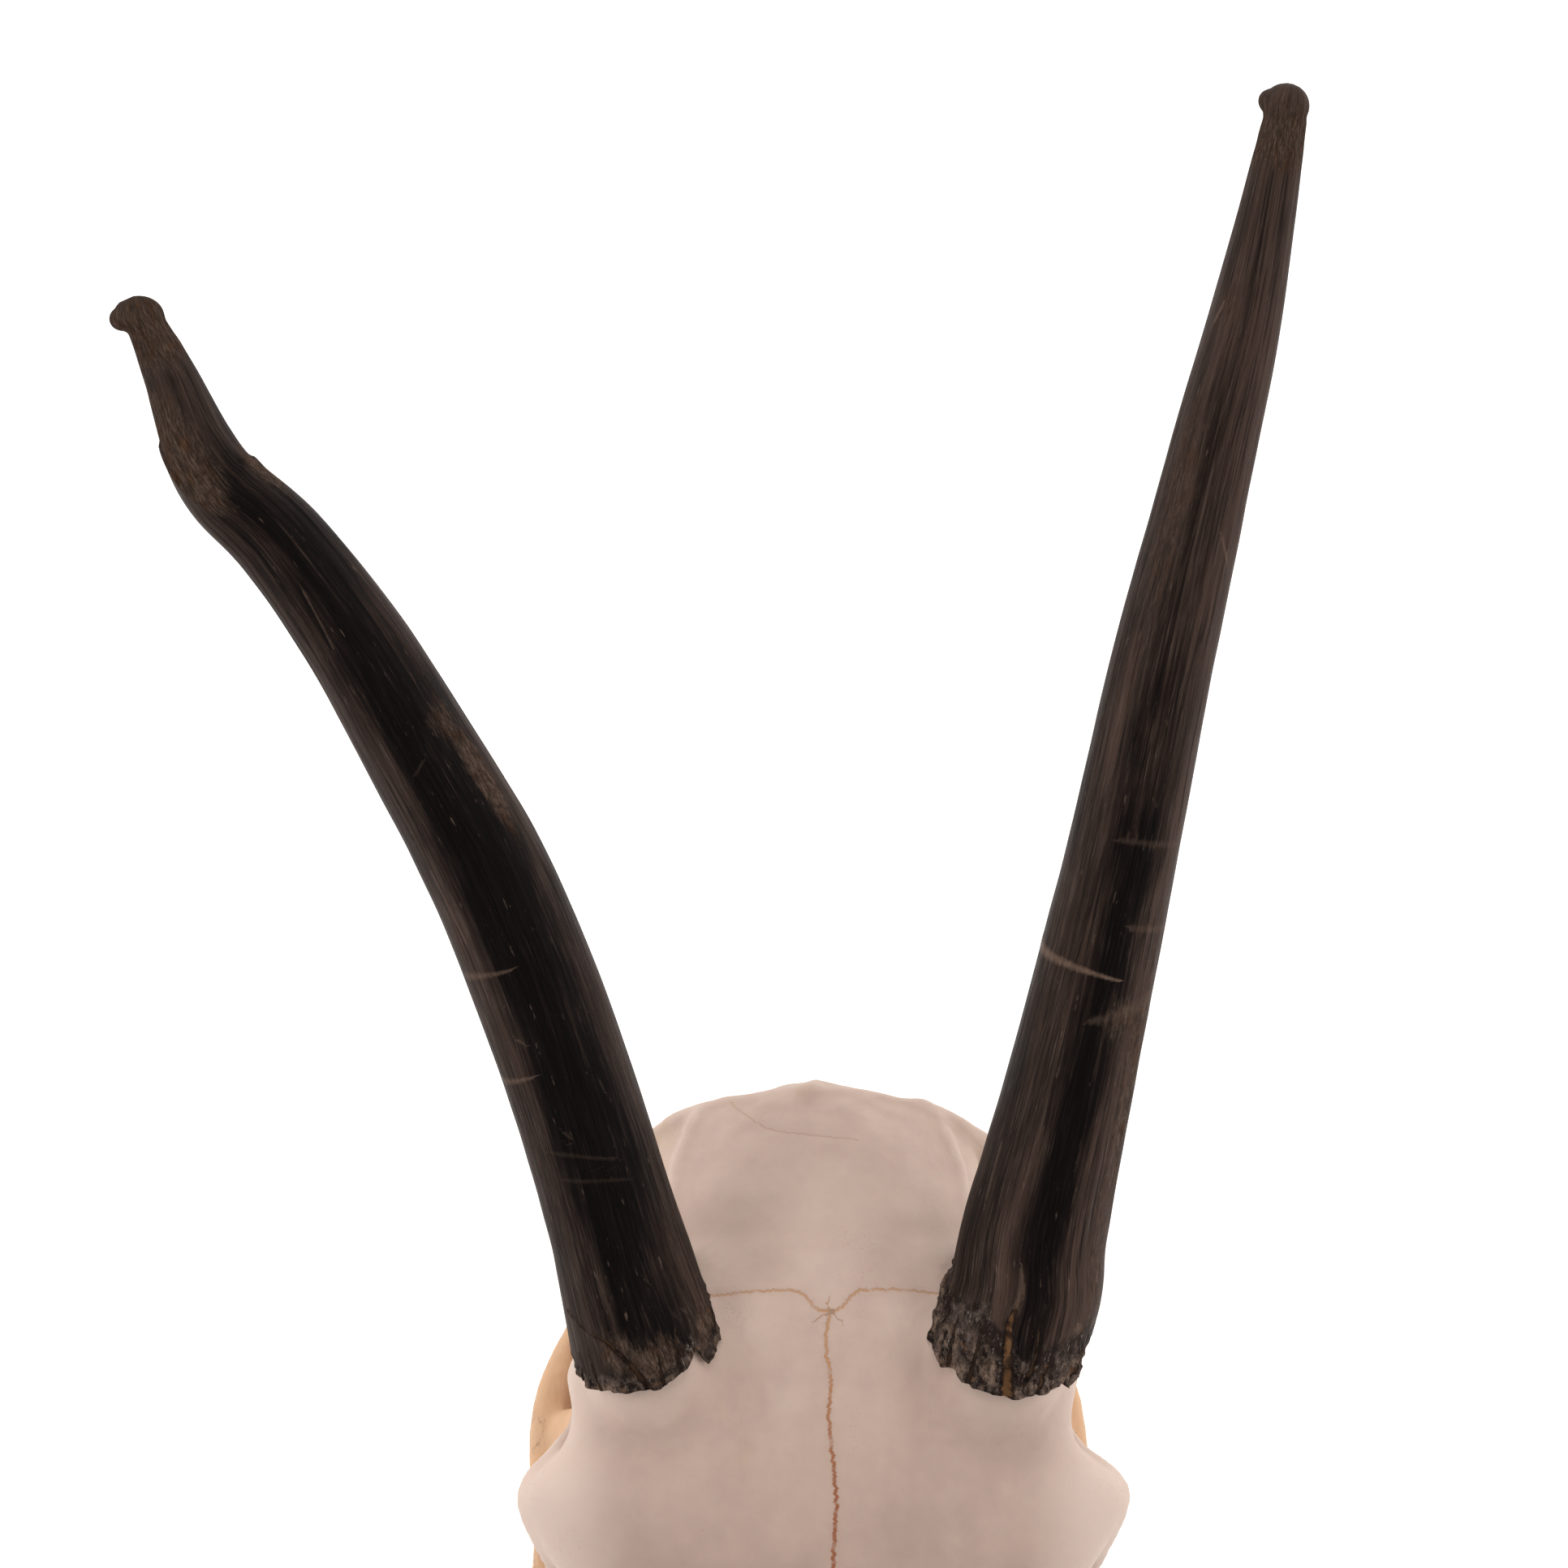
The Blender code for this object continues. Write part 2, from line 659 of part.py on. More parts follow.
def build():
    clear_scene()
    parts = collection("gemsbok_skull")
    helpers = collection("cutters")
    skull = make_skull(parts, helpers)
    seat = make_seat(skull, helpers)
    keratin = finish("horn")
    for name in HORN_AXIS:
        make_horn(name, seat, parts, helpers, keratin)
    seat_teeth(skull, parts, helpers, finish("tooth"))
    flatten_feet(skull, helpers)
    skull.data.materials.clear()
    skull.data.materials.append(finish("bone"))
    for obj in parts.objects:
        shade(obj)


build()
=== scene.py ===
"""Gemsbok skull with both horns, lying on a white table in soft light, seen from above the forehead."""

import math
from itertools import product

import bmesh
import bpy
import numpy as np
from mathutils import Matrix, Vector
from mathutils.bvhtree import BVHTree
from mathutils.kdtree import KDTree


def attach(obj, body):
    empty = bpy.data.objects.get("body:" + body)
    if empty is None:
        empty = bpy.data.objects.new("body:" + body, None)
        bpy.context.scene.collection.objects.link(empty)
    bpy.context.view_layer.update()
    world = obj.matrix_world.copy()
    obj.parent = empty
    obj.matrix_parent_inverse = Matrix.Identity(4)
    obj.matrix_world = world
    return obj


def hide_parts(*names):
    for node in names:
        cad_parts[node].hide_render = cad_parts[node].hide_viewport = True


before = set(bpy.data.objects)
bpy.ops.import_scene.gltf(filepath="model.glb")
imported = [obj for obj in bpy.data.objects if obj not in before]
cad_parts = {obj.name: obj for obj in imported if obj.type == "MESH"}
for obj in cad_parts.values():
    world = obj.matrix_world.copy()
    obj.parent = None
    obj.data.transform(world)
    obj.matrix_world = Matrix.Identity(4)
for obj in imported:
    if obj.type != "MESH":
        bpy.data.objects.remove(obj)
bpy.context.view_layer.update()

# ---- Skull ----------------------------------------------------------------------------------------
# The cranium without its lower jaw: dry, thin-walled bone, bleached to a pinkish cream. Its bones have
# grown together along toothed sutures. It is drawn in millimetres in the skull's own frame: x from the
# midline, y back from the widest line of the eye sockets, z up from the table.

MM = 0.001
MIDLINE_X, ORBIT_LINE_Y = 33.0, -49.4
ORBIT_HALF_WIDTH, BROW_Z = 84.0, 140.0
# Size of the grid on which forms are fused, and rounds of softening afterwards
BROAD_GRID, FINE_GRID = 2.0, 1.25
BROAD_SOFTENING, SLENDER_SOFTENING, HOLLOW_SOFTENING, LAST_SOFTENING = 12, 7, 4, 5
SKULL_TRIANGLES = 192000
BODY_SIDES, BAR_SIDES, BALL_SIDES = 64, 16, 40
STATION_STEPS, RIM_STEPS = 5, 6  # points drawn from one given point to the next

# Body stations: y, roof z, z of the widest place, floor z, half width, roof power, floor power
CRANIUM = (
    (-206, 52, 46, 39, 17, 2.0, 3.0),
    (-190, 73, 46, 37, 18.5, 1.9, 3.0),
    (-170, 86, 46, 35, 21.5, 1.8, 3.0),
    (-150, 93.5, 46, 32, 26.5, 1.7, 3.5),
    (-125, 102, 46, 28, 35, 1.7, 5.0),
    (-100, 110, 47, 25, 42, 1.7, 6.0),
    (-75, 118, 50, 22.5, 46.5, 1.8, 6.0),
    (-52, 125, 56, 21, 48, 1.9, 6.0),
    (-30, 131.5, 66, 20, 47.5, 2.1, 6.0),
    (-12, 136.5, 80, 21, 45, 2.3, 6.0),
    (0, 140, 96, 33, 36, 2.5, 3.5),
    (18, 144, 102, 42, 34, 2.4, 2.4),
    (33, 147.5, 98, 42, 38, 2.3, 2.1),
    (47, 149, 94, 41, 43, 2.3, 2.0),
    (60, 146, 91, 40, 46, 2.3, 2.0),
    (76, 137.5, 88, 40, 47.5, 2.3, 2.0),
    (92, 127, 84, 40, 48, 2.25, 2.0),
    (103, 119, 80, 41, 47.5, 2.25, 2.0),
    (109, 114, 78, 43, 45, 2.2, 2.1),
    (113.5, 110, 76, 45, 40, 2.2, 2.1),
    (116, 106, 75, 48, 32, 2.2, 2.1),
)
FRONTAL_SHIELD = (
    (-108, 104, 100, 95, 10, 2.0, 2.0),
    (-90, 111.5, 105, 97, 22, 2.0, 2.0),
    (-72, 118, 109, 99, 34, 2.1, 2.0),
    (-55, 123.5, 112, 101, 46, 2.2, 2.0),
    (-40, 128.5, 115, 104, 58, 2.2, 2.0),
    (-26, 132.5, 118, 108, 69, 2.2, 2.0),
    (-15, 135.5, 119.5, 110, 76, 2.2, 2.0),
    (-6, 138, 120.5, 110, 81, 2.2, 2.0),
    (3, BROW_Z + 0.5, 121, 110, ORBIT_HALF_WIDTH - 0.5, 2.2, 2.0),
    (12, 143, 121.5, 109, 74.5, 2.2, 2.0),
    (23, 146, 122, 106, 69, 2.3, 2.0),
    (36, 148, 121, 102, 70.5, 2.3, 2.0),
    (50, 148.5, 118, 97, 61, 2.2, 2.0),
    (68, 141.5, 112, 90, 49, 2.2, 2.0),
)
CHEEK = (
    (-96, 98, 72, 50, 34, 2.2, 2.2),
    (-74, 109, 80, 53, 45.5, 2.5, 2.5),
    (-54, 117, 86, 53, 56.5, 2.8, 2.9),
    (-38, 121.5, 90, 56, 65, 3.2, 3.3),
    (-23, 123, 92, 59, 71.5, 3.6, 3.6),
    (-8, 122, 92, 61, 75.5, 3.6, 3.6),
    (1, 119, 92, 63, 75, 3.6, 3.6),
)
PALATE_VAULT = (
    (-214, 42, 22, 5, 9, 2.5, 2.0),
    (-170, 41, 22, 5, 12, 2.5, 2.0),
    (-125, 40, 20, 5, 17, 2.5, 2.0),
    (-100, 39, 20, 5, 20, 2.5, 2.0),
    (-60, 38, 20, 5, 22.5, 2.5, 2.0),
    (-25, 37, 20, 5, 23, 2.5, 2.0),
    (-7, 37, 20, 5, 20, 2.5, 2.0),
)
NOSE = (
    (-250, 96, 62, 44, 21, 2.0, 2.5),
    (-215, 84, 60, 43, 17, 2.0, 2.5),
    (-190, 72, 58, 43, 14.5, 2.0, 2.5),
    (-170, 79, 58, 43, 15.5, 1.9, 2.5),
    (-150, 86, 60, 44, 17, 1.9, 2.5),
    (-125, 92, 62, 46, 17, 1.9, 2.5),
    (-105, 88, 66, 50, 12, 1.9, 2.5),
)
HIND_NOSTRILS = (
    (-16, 40, 36, 22, 9, 2.2, 2.2),
    (0, 52, 36, 20, 10.5, 2.2, 2.2),
    (18, 54, 38, 18, 10.5, 2.2, 2.2),
    (34, 46, 38, 18, 9, 2.2, 2.2),
)
# Bars and ridges of the right side: x, y, z, half breadth, half depth
CHEEK_ARCH = (
    (71, -28, 65, 5, 7),
    (74.5, -10, 66, 5, 6.5),
    (74.5, 8, 66.5, 5.4, 5.5),
    (73.5, 22, 66.5, 5.8, 5),
    (71.5, 34, 66, 6, 5),
    (68, 45, 65, 6, 5),
    (63.5, 56, 63.5, 5.6, 5.5),
    (58, 67, 61, 5, 6.5),
    (46, 80, 60, 8, 7),
)
ORBIT_RIM = (
    (81, 1, 119.5),
    (73, 13.5, 114),
    (68.5, 19.5, 101),
    (68.5, 19, 85),
    (72.5, 9, 74),
    (76, -5, 71),
    (76.5, -19, 77),
    (71.5, -26, 93),
    (71.5, -20, 109),
)
ORBIT_RIM_RADIUS = 3.5
CHEEK_CREST = (
    (41, -84, 46, 5, 6),
    (45, -71, 50, 4.5, 6),
    (52.5, -56, 57, 4.5, 6),
    (61.5, -40, 61.5, 4.5, 6),
    (70, -24, 65, 4.5, 6),
)
NUCHAL_CREST = (
    (-14, 113.8, 104.5, 3, 3.5),
    (0, 115, 106, 3, 3.5),
    (14, 113.8, 104.5, 3, 3.5),
    (31, 111.5, 101, 3, 3.5),
    (43, 107, 95.5, 3, 3.5),
    (50, 102, 86, 3.5, 4),
    (50.5, 100, 73, 4, 5),
    (46, 103, 61, 5, 6),
)
TEMPORAL_LINE = (
    (37, 62, 125.5, 2.5, 2.5),
    (40.5, 78, 116, 2.2, 2.5),
    (40, 92, 110, 2.2, 2.5),
    (37, 102, 107, 2.2, 2.5),
    (33, 111, 102.5, 2.2, 2.5),
)
PAROCCIPITAL = (
    (44, 102, 62, 8, 9),
    (42.5, 105, 46, 6, 9),
    (41, 107.5, 31, 4.4, 8),
    (40, 109, 15, 3.4, 5.6),
    (39.6, 109.3, 6, 2.8, 4.4),
    (39.4, 109.5, 1.5, 1.7, 2.6),
)
PTERYGOID = (
    (14, -12, 33, 3, 9),
    (13, 8, 35, 1.9, 10),
    (13, 22, 38, 1.9, 9),
    (12, 36, 42, 2.5, 6),
)
BASE_BEAM = (
    (0, 20, 44, 9, 5),
    (0, 62, 41, 9.5, 5),
    (0, 99, 41, 12.5, 5.5),
    (0, 121, 44, 13, 6),
)
PREMAXILLA_RISE = (
    (19, -150, 72, 2.2, 3.5),
    (19.5, -168, 67, 2.4, 4.5),
    (19, -186, 60, 2.4, 4.5),
    (19, -205, 49, 2.8, 4.5),
    (19.5, -221, 41, 4, 3.4),
    (16, -236, 38, 5.5, 2.8),
    (8.5, -243, 37, 5, 2.6),
)
PREMAXILLA_EDGE = (
    (21, -155, 40, 3.5, 4.5),
    (18, -186, 38.5, 3.5, 4),
    (18, -215, 38, 4.5, 3.4),
)
PREMAXILLA_TONGUE = (
    (8, -240, 37, 4, 2.2),
    (5, -222, 37.5, 2.6, 2.2),
    (4.5, -200, 38.5, 2.6, 2.2),
    (5, -176, 39.5, 3.5, 2.2),
)
NASAL_TIP = (
    (6.5, -150, 88, 6, 3),
    (6.5, -178, 80, 5.4, 2.6),
    (6, -193, 73.5, 3.4, 2),
    (5, -204, 68, 1.5, 1.4),
)
# Set in after the hollows are cut: the post behind the eye socket, the thin plates that divide the nose
# in front and behind, and the knuckles on which the head turns on the neck
SOCKET_POST = (
    (62, 24, 117, 4.5, 9),
    (65.5, 23.5, 103, 3.6, 8),
    (66.5, 23, 88, 3.4, 7.5),
    (69, 21.5, 70, 4.5, 9),
)
NOSE_PLATE = (
    (0, -186, 44, 1.4, 4),
    (0, -160, 50, 1.4, 9),
    (0, -130, 60, 1.4, 18),
    (0, -108, 66, 1.6, 20),
)
THROAT_PLATE = (
    (0, -18, 42, 1.4, 5),
    (0, 4, 47, 1.4, 10),
    (0, 24, 47, 1.6, 9),
    (0, 40, 43, 2.0, 4),
)
KNUCKLES = (
    ((16.5, 117, 50), (7.5, 8.5, 9.5)),
    ((11.5, 117.5, 43), (8.5, 7, 5.5)),
    ((17.5, 113, 59), (5.5, 7.5, 7)),
    ((7.5, 98, 36.5), (4.5, 7, 3.5)),
    ((6.5, 64, 37.5), (4, 7, 3)),
)
# Rounded bosses and hollows, the right one of each pair: centre and radii
BOSSES = (
    ((42, -78, 44), (7.5, 14, 9)),  # front root of the cheek arch
    ((51, 76, 57), (18, 11.5, 7.5)),  # joint of the lower jaw
    ((50, 86, 54), (10, 5, 9.5)),  # stop behind that joint
    ((28, 82, 35), (10.5, 15.5, 13.5)),  # bulb of the ear
    ((43, 92, 55), (11, 10, 11)),  # mound behind the ear
    ((18.5, 111, 50), (14, 14, 13.5)),  # joint of the neck
    ((23, 108, 60), (11, 11, 11)),  # its upper end
    ((0, 105.5, 75), (43, 14.5, 33)),  # back of the head
    ((0, 115.2, 99), (20, 4.8, 8)),  # knob of the nape
)
HOLLOWS = (
    ((66, -3.5, 96.5), (34, 20, 21.5)),  # eye socket
    ((60, 48, 92), (13.5, 29, 27)),  # temple
    ((0, 121, 62), (11, 28, 10.5)),  # hole for the spinal cord
    ((54, 92, 54), (6, 3, 3)),  # ear hole
    ((31, -120, 60), (6, 6, 3)),  # nerve hole in the cheek
    ((34, 8, 90), (7, 3.6, 3.6)),  # nerve hole in the socket
    ((22, 56, 43), (2.8, 4.2, 6)),  # the rest are nerve and vessel holes
    ((25.5, 101, 45), (2.6, 5, 6)),
    ((15, -36, 36), (2.4, 3.2, 5)),
    ((60, -28, 86), (14, 2.6, 3)),
)
# The horns' axes from the foot to the neck below the knob: x, y, z, radius. The bony cores follow them.
HORN_AXIS = {
    "left_horn": (
        (-48.2, 38, 139, 20.6),
        (-57.6, 69.5, 155.6, 17.8),
        (-67.6, 100.3, 171.7, 16.9),
        (-79, 130.3, 187.4, 16.7),
        (-92.5, 158.8, 202.6, 16.2),
        (-108.6, 185.4, 217.4, 14.9),
        (-125.1, 210.7, 231.5, 13.5),
        (-142.8, 232.2, 244.3, 12),
        (-156.8, 244.2, 252.5, 10.9),
        (-164, 254.3, 258.2, 9.4),
        (-169.9, 268.7, 265.3, 7),
        (-176, 281, 271.4, 5),
    ),
    "right_horn": (
        (46.2, 36, 139, 21.2),
        (52.9, 52.2, 148.1, 20.8),
        (55.9, 70, 157.1, 19.5),
        (64, 104.5, 174.8, 17.2),
        (75.1, 155.7, 200.3, 15),
        (85.4, 206.2, 224.9, 13.3),
        (96.7, 255.5, 248.5, 11.3),
        (104.8, 288.1, 263.9, 9.4),
        (113.5, 334, 285, 5.7),
    ),
}
PEDICEL_LEAD_IN, PEDICEL_STUB, HORN_WALL = 32.0, 17.0, 1.9
# Places on the core from inside the skull (-1) past the horn's foot (0) to its end (1), and its
# thickness there
PEDICEL_SHAPE = ((-1, 0.72), (-0.5, 0.9), (0, 1), (0.7, 0.86), (1, 0.6))


def between(values, t):
    """The smooth curve through four values, at t from the second to the third."""
    p, q, r, s = values
    curve = (2 * p - 5 * q + 4 * r - s) * t**2 + (3 * q - p - 3 * r + s) * t**3
    return q + 0.5 * ((r - p) * t + curve)


def smooth_steps(points, steps):
    """Points along a smooth curve through the given ones, with whatever sizes follow x, y, z."""
    ends = [points[0], *points, points[-1]]
    found = []
    for four in zip(ends, ends[1:], ends[2:], ends[3:]):
        for step in range(steps):
            found.append([between(values, step / steps) for values in zip(*four)])
    found.append(list(points[-1]))
    return found


def smooth_loop(points, steps):
    """The same along a closed curve, which ends where it began."""
    found = smooth_steps([*points[-2:], *points, *points[:2]], steps)
    return found[2 * steps : (2 + len(points)) * steps + 1]


def skin_rings(form, rings, closed_loop=False):
    """Quads between rings of points, with a face across each end."""
    rows = [[form.verts.new(point) for point in ring] for ring in rings]
    pairs = list(zip(rows, rows[1:]))
    if closed_loop:
        pairs.append((rows[-1], rows[0]))
    for near, far in pairs:
        for i in range(len(near)):
            j = (i + 1) % len(near)
            form.faces.new((near[i], near[j], far[j], far[i]))
    if not closed_loop:
        form.faces.new(rows[0])
        form.faces.new(rows[-1][::-1])


def body_ring(y, roof, wide_z, floor, half_width, roof_power, floor_power):
    """A section across the skull: two half superellipses that meet at the widest place."""
    ring = []
    for step in range(BODY_SIDES):
        angle = 2 * math.pi * step / BODY_SIDES
        side, rise = math.sin(angle), math.cos(angle)
        power, reach = (roof_power, roof - wide_z) if rise >= 0 else (floor_power, wide_z - floor)
        x = half_width * math.copysign(abs(side) ** (2 / power), side)
        z = wide_z + reach * math.copysign(abs(rise) ** (2 / power), rise)
        ring.append((x, y, z))
    return ring


def add_body(form, stations):
    skin_rings(form, [body_ring(*station) for station in smooth_steps(stations, STATION_STEPS)])


def oval(middle, first, second, breadth, depth):
    angles = [2 * math.pi * i / BAR_SIDES for i in range(BAR_SIDES)]
    return [middle + first * breadth * math.cos(a) + second * depth * math.sin(a) for a in angles]


def bar_ring(point, ahead, breadth, depth, upright):
    along = ahead.normalized()
    reference = Vector((0, 1, 0)) if upright else Vector((0, 0, 1))
    across = reference.cross(along).normalized()
    return oval(point, across, along.cross(across), breadth, depth)


def add_bar(form, stations, upright=False, mirror=True):
    """A bar of oval section along the stations, on the right side or on both."""
    path = smooth_steps(stations, STATION_STEPS)
    points = [Vector(station[:3]) for station in path]
    rings = []
    for i, station in enumerate(path):
        ahead = points[min(i + 1, len(points) - 1)] - points[max(i - 1, 0)]
        rings.append(bar_ring(points[i], ahead, station[3], station[4], upright))
    skin_rings(form, rings)
    if mirror:
        skin_rings(form, [[Vector((-p.x, p.y, p.z)) for p in ring][::-1] for ring in rings])


def add_orbit_rim(form, side):
    """The bony ring of one eye socket."""
    points = [Vector((side * x, y, z)) for x, y, z in ORBIT_RIM]
    middle = sum(points, Vector()) / len(points)
    loop = [Vector(point) for point in smooth_loop(points, RIM_STEPS)[:-1]]
    rings = []
    for i, point in enumerate(loop):
        along = (loop[(i + 1) % len(loop)] - loop[i - 1]).normalized()
        across = along.cross((point - middle).normalized()).normalized()
        rings.append(oval(point, across.cross(along), across, ORBIT_RIM_RADIUS, ORBIT_RIM_RADIUS))
    skin_rings(form, rings, closed_loop=True)


def add_ball(form, centre, radii):
    shape = Matrix.Translation(centre) @ Matrix.Diagonal((*radii, 1))
    rows = BALL_SIDES // 2
    bmesh.ops.create_uvsphere(form, u_segments=BALL_SIDES, v_segments=rows, radius=1, matrix=shape)


def add_pair(form, centre, radii):
    add_ball(form, centre, radii)
    if centre[0]:
        add_ball(form, (-centre[0], *centre[1:]), radii)


def add_pedicel(form, axis):
    """The bony stub that swells out of the forehead and carries one horn."""
    foot, next_point = (Vector(station[:3]) for station in axis[:2])
    ahead = (next_point - foot).normalized()
    radius = axis[0][3] - HORN_WALL
    inward = Vector((math.copysign(2.0, -foot.x), 0, -4))
    stations = []
    for share, scale in PEDICEL_SHAPE:
        reach = PEDICEL_LEAD_IN if share < 0 else PEDICEL_STUB
        point = foot + ahead * share * reach + inward * max(0, -share)
        stations.append((*point, radius * scale, radius * scale))
    add_bar(form, stations, mirror=False)


def add_object(name, data):
    made = bpy.data.objects.new(name, data)
    bpy.context.scene.collection.objects.link(made)
    return made


def put_in_scene(name, form):
    """The drawn form as an object, still in the skull's millimetres."""
    bmesh.ops.recalc_face_normals(form, faces=form.faces)
    mesh = bpy.data.meshes.new(name)
    form.to_mesh(mesh)
    form.free()
    return add_object(name, mesh)


def settled(piece):
    """Replaces the piece's mesh by what its modifiers make of it."""
    bpy.context.view_layer.update()
    graph = bpy.context.evaluated_depsgraph_get()
    piece.data = bpy.data.meshes.new_from_object(piece.evaluated_get(graph))
    piece.modifiers.clear()
    return piece


def fuse(piece, grid, rounds):
    """Melts overlapping forms into one skin and softens it."""
    remesh = piece.modifiers.new("fuse", "REMESH")
    remesh.mode = "VOXEL"
    remesh.voxel_size = grid
    soften = piece.modifiers.new("soften", "SMOOTH")
    soften.factor = 0.5
    soften.iterations = rounds
    return settled(piece)


def join_into(piece, other):
    form = bmesh.new()
    form.from_mesh(piece.data)
    form.from_mesh(other.data)
    form.to_mesh(piece.data)
    form.free()
    bpy.data.objects.remove(other)


def draw_skull():
    """Fuses broad forms, adds slender ones, cuts the hollows out and sets plates and knuckles in."""
    broad = bmesh.new()
    for body in (CRANIUM, FRONTAL_SHIELD, CHEEK):
        add_body(broad, body)
    for centre, radii in BOSSES:
        add_pair(broad, centre, radii)
    for axis in HORN_AXIS.values():
        add_pedicel(broad, axis)
    piece = fuse(put_in_scene("skull_bone", broad), BROAD_GRID, BROAD_SOFTENING)
    slender = bmesh.new()
    for bar in (CHEEK_ARCH, CHEEK_CREST, TEMPORAL_LINE, NUCHAL_CREST, PTERYGOID, NASAL_TIP):
        add_bar(slender, bar)
    for bar in (PREMAXILLA_RISE, PREMAXILLA_EDGE, PREMAXILLA_TONGUE):
        add_bar(slender, bar)
    add_bar(slender, PAROCCIPITAL, upright=True)
    add_bar(slender, BASE_BEAM, mirror=False)
    for side in (-1, 1):
        add_orbit_rim(slender, side)
    join_into(piece, put_in_scene("slender_bones", slender))
    fuse(piece, FINE_GRID, SLENDER_SOFTENING)
    spaces = bmesh.new()
    for space in (PALATE_VAULT, NOSE, HIND_NOSTRILS):
        add_body(spaces, space)
    for centre, radii in HOLLOWS:
        add_pair(spaces, centre, radii)
    hollows = fuse(put_in_scene("hollows", spaces), FINE_GRID, HOLLOW_SOFTENING)
    carve = piece.modifiers.new("carve", "BOOLEAN")
    carve.solver = "MANIFOLD"
    carve.object = hollows
    settled(piece)
    bpy.data.objects.remove(hollows)
    plates = bmesh.new()
    add_bar(plates, SOCKET_POST, upright=True)
    add_bar(plates, NOSE_PLATE, mirror=False)
    add_bar(plates, THROAT_PLATE, mirror=False)
    for centre, radii in KNUCKLES:
        add_pair(plates, centre, radii)
    join_into(piece, put_in_scene("plates", plates))
    return fuse(piece, FINE_GRID, LAST_SOFTENING)


skull = draw_skull()


def points_of(mesh):
    found = np.empty(3 * len(mesh.vertices), np.float32)
    mesh.vertices.foreach_get("co", found)
    return found.reshape(-1, 3).astype(np.float64)


def normals_of(mesh):
    found = np.empty(3 * len(mesh.vertices), np.float32)
    mesh.vertex_normals.foreach_get("vector", found)
    return found.reshape(-1, 3).astype(np.float64)


def bell(value, width):
    return np.exp(-((value / width) ** 2))


def ramp(value, low, high):
    share = np.clip((value - low) / (high - low), 0, 1)
    return share * share * (3 - 2 * share)


LUMP_SHIFT = 31.7  # moves each seed's pattern to a place of its own
SCATTER = (73856093, 19349663, 83492791, 26544357, 1274126177)


def lumps(points, size, seed):
    """Smooth irregular lumps about this many millimetres wide, from -1 to 1."""
    grid = points / size + LUMP_SHIFT * seed
    cell = np.floor(grid).astype(np.int64)
    part = grid - cell
    part = part * part * (3 - 2 * part)
    total = np.zeros(len(points))
    for corner in product((0, 1), repeat=3):
        a, b, c = (cell + corner).T
        mixed = (a * SCATTER[0]) ^ (b * SCATTER[1]) ^ (c * SCATTER[2]) ^ (seed * SCATTER[3])
        mixed = ((mixed ^ (mixed >> 13)) * SCATTER[4]) & 0xFFFFFF
        weight = np.prod(np.where(corner, part, 1 - part), axis=1)
        total += weight * (mixed / 0x7FFFFF - 1)
    return total


# Sutures where the bones meet: whether the left side has it too, tone at both ends from faint tan to
# red-brown, width of the toothing, depth of the groove, and the points beside which it runs
SUTURES = (
    # down the middle of the forehead
    (False, 0.4, 0.95, 0.8, 0.4, (
        (0.2, 47.5, 149), (-0.9, 38, 148), (0.4, 30, 147), (-0.2, 20, 144), (1, 8, 141), (1.7, -3, 139),
        (1.1, -16, 135), (0.4, -40, 129), (0, -70, 120), (0, -98, 111),
    )),
    # across the skull behind the forehead
    (True, 0.42, 0.2, 0.7, 0.2, (
        (0.4, 47.8, 149), (3.5, 48.6, 149), (7.5, 53, 148), (14, 54, 147.5), (24, 53.4, 145),
        (33, 51.5, 141), (41, 49, 132), (44, 44, 116), (41, 36, 100),
    )),
    # a faint crease on top of the braincase
    (False, 0.1, 0.02, 0.6, 0.12, (
        (-24, 113, 108), (-19, 106, 112), (-12, 100.5, 116), (0, 98, 118), (10, 97.5, 119),
    )),
    # from the forehead's front end out to the socket
    (True, 0.5, 0.5, 0.9, 0.35, (
        (0, -98, 111), (7, -95, 111), (14, -88, 112), (19, -79, 112), (30, -62, 114), (43, -46, 114),
        (57, -32, 112), (66, -24, 106),
    )),
    # along the outer edge of the nose bone
    (True, 0.45, 0.4, 0.4, 0.3, (
        (17, -82, 111), (15.5, -105, 104), (13.5, -130, 97), (12, -155, 88), (10, -175, 80),
    )),
    # between the nose bones
    (False, 0.5, 0.5, 0.5, 0.3, ((0, -98, 111), (0, -130, 101), (0, -165, 88), (0, -196, 72))),
    # down the cheek
    (True, 0.45, 0.4, 0.8, 0.3, (
        (19, -80, 112), (30, -82, 96), (40, -76, 80), (47, -66, 66), (52, -56, 58),
    )),
    # from the cheek up to the socket
    (True, 0.4, 0.4, 0.7, 0.3, ((52, -56, 60), (60, -44, 76), (68, -30, 84))),
    # down the side of the snout
    (True, 0.4, 0.4, 0.5, 0.25, ((14, -148, 84), (19, -156, 72), (22, -162, 56), (20, -168, 42))),
    # across the cheek arch
    (True, 0.4, 0.4, 0.9, 0.35, ((76, 2, 70), (77, 9, 66), (75, 16, 62))),
    # along the side of the braincase
    (True, 0.3, 0.2, 0.8, 0.3, ((40, 40, 96), (46, 56, 104), (49, 74, 102), (50, 92, 94))),
    # across the palate
    (True, 0.35, 0.35, 0.6, 0.3, ((0, -40, 37), (8, -40, 37), (18, -44, 32))),
    # along the palate
    (False, 0.35, 0.35, 0.6, 0.3, ((0, -200, 42), (0, -150, 41), (0, -90, 39), (0, -30, 37))),
)
SUTURE_STEPS = 16  # points drawn from one given point to the next
SEAM_STEP = 0.5  # distance between the points at which a seam is kept
SEAM_REACH = 7.0
SEAM_OVERRUN = 0.8  # a seam is drawn this far past its end at most


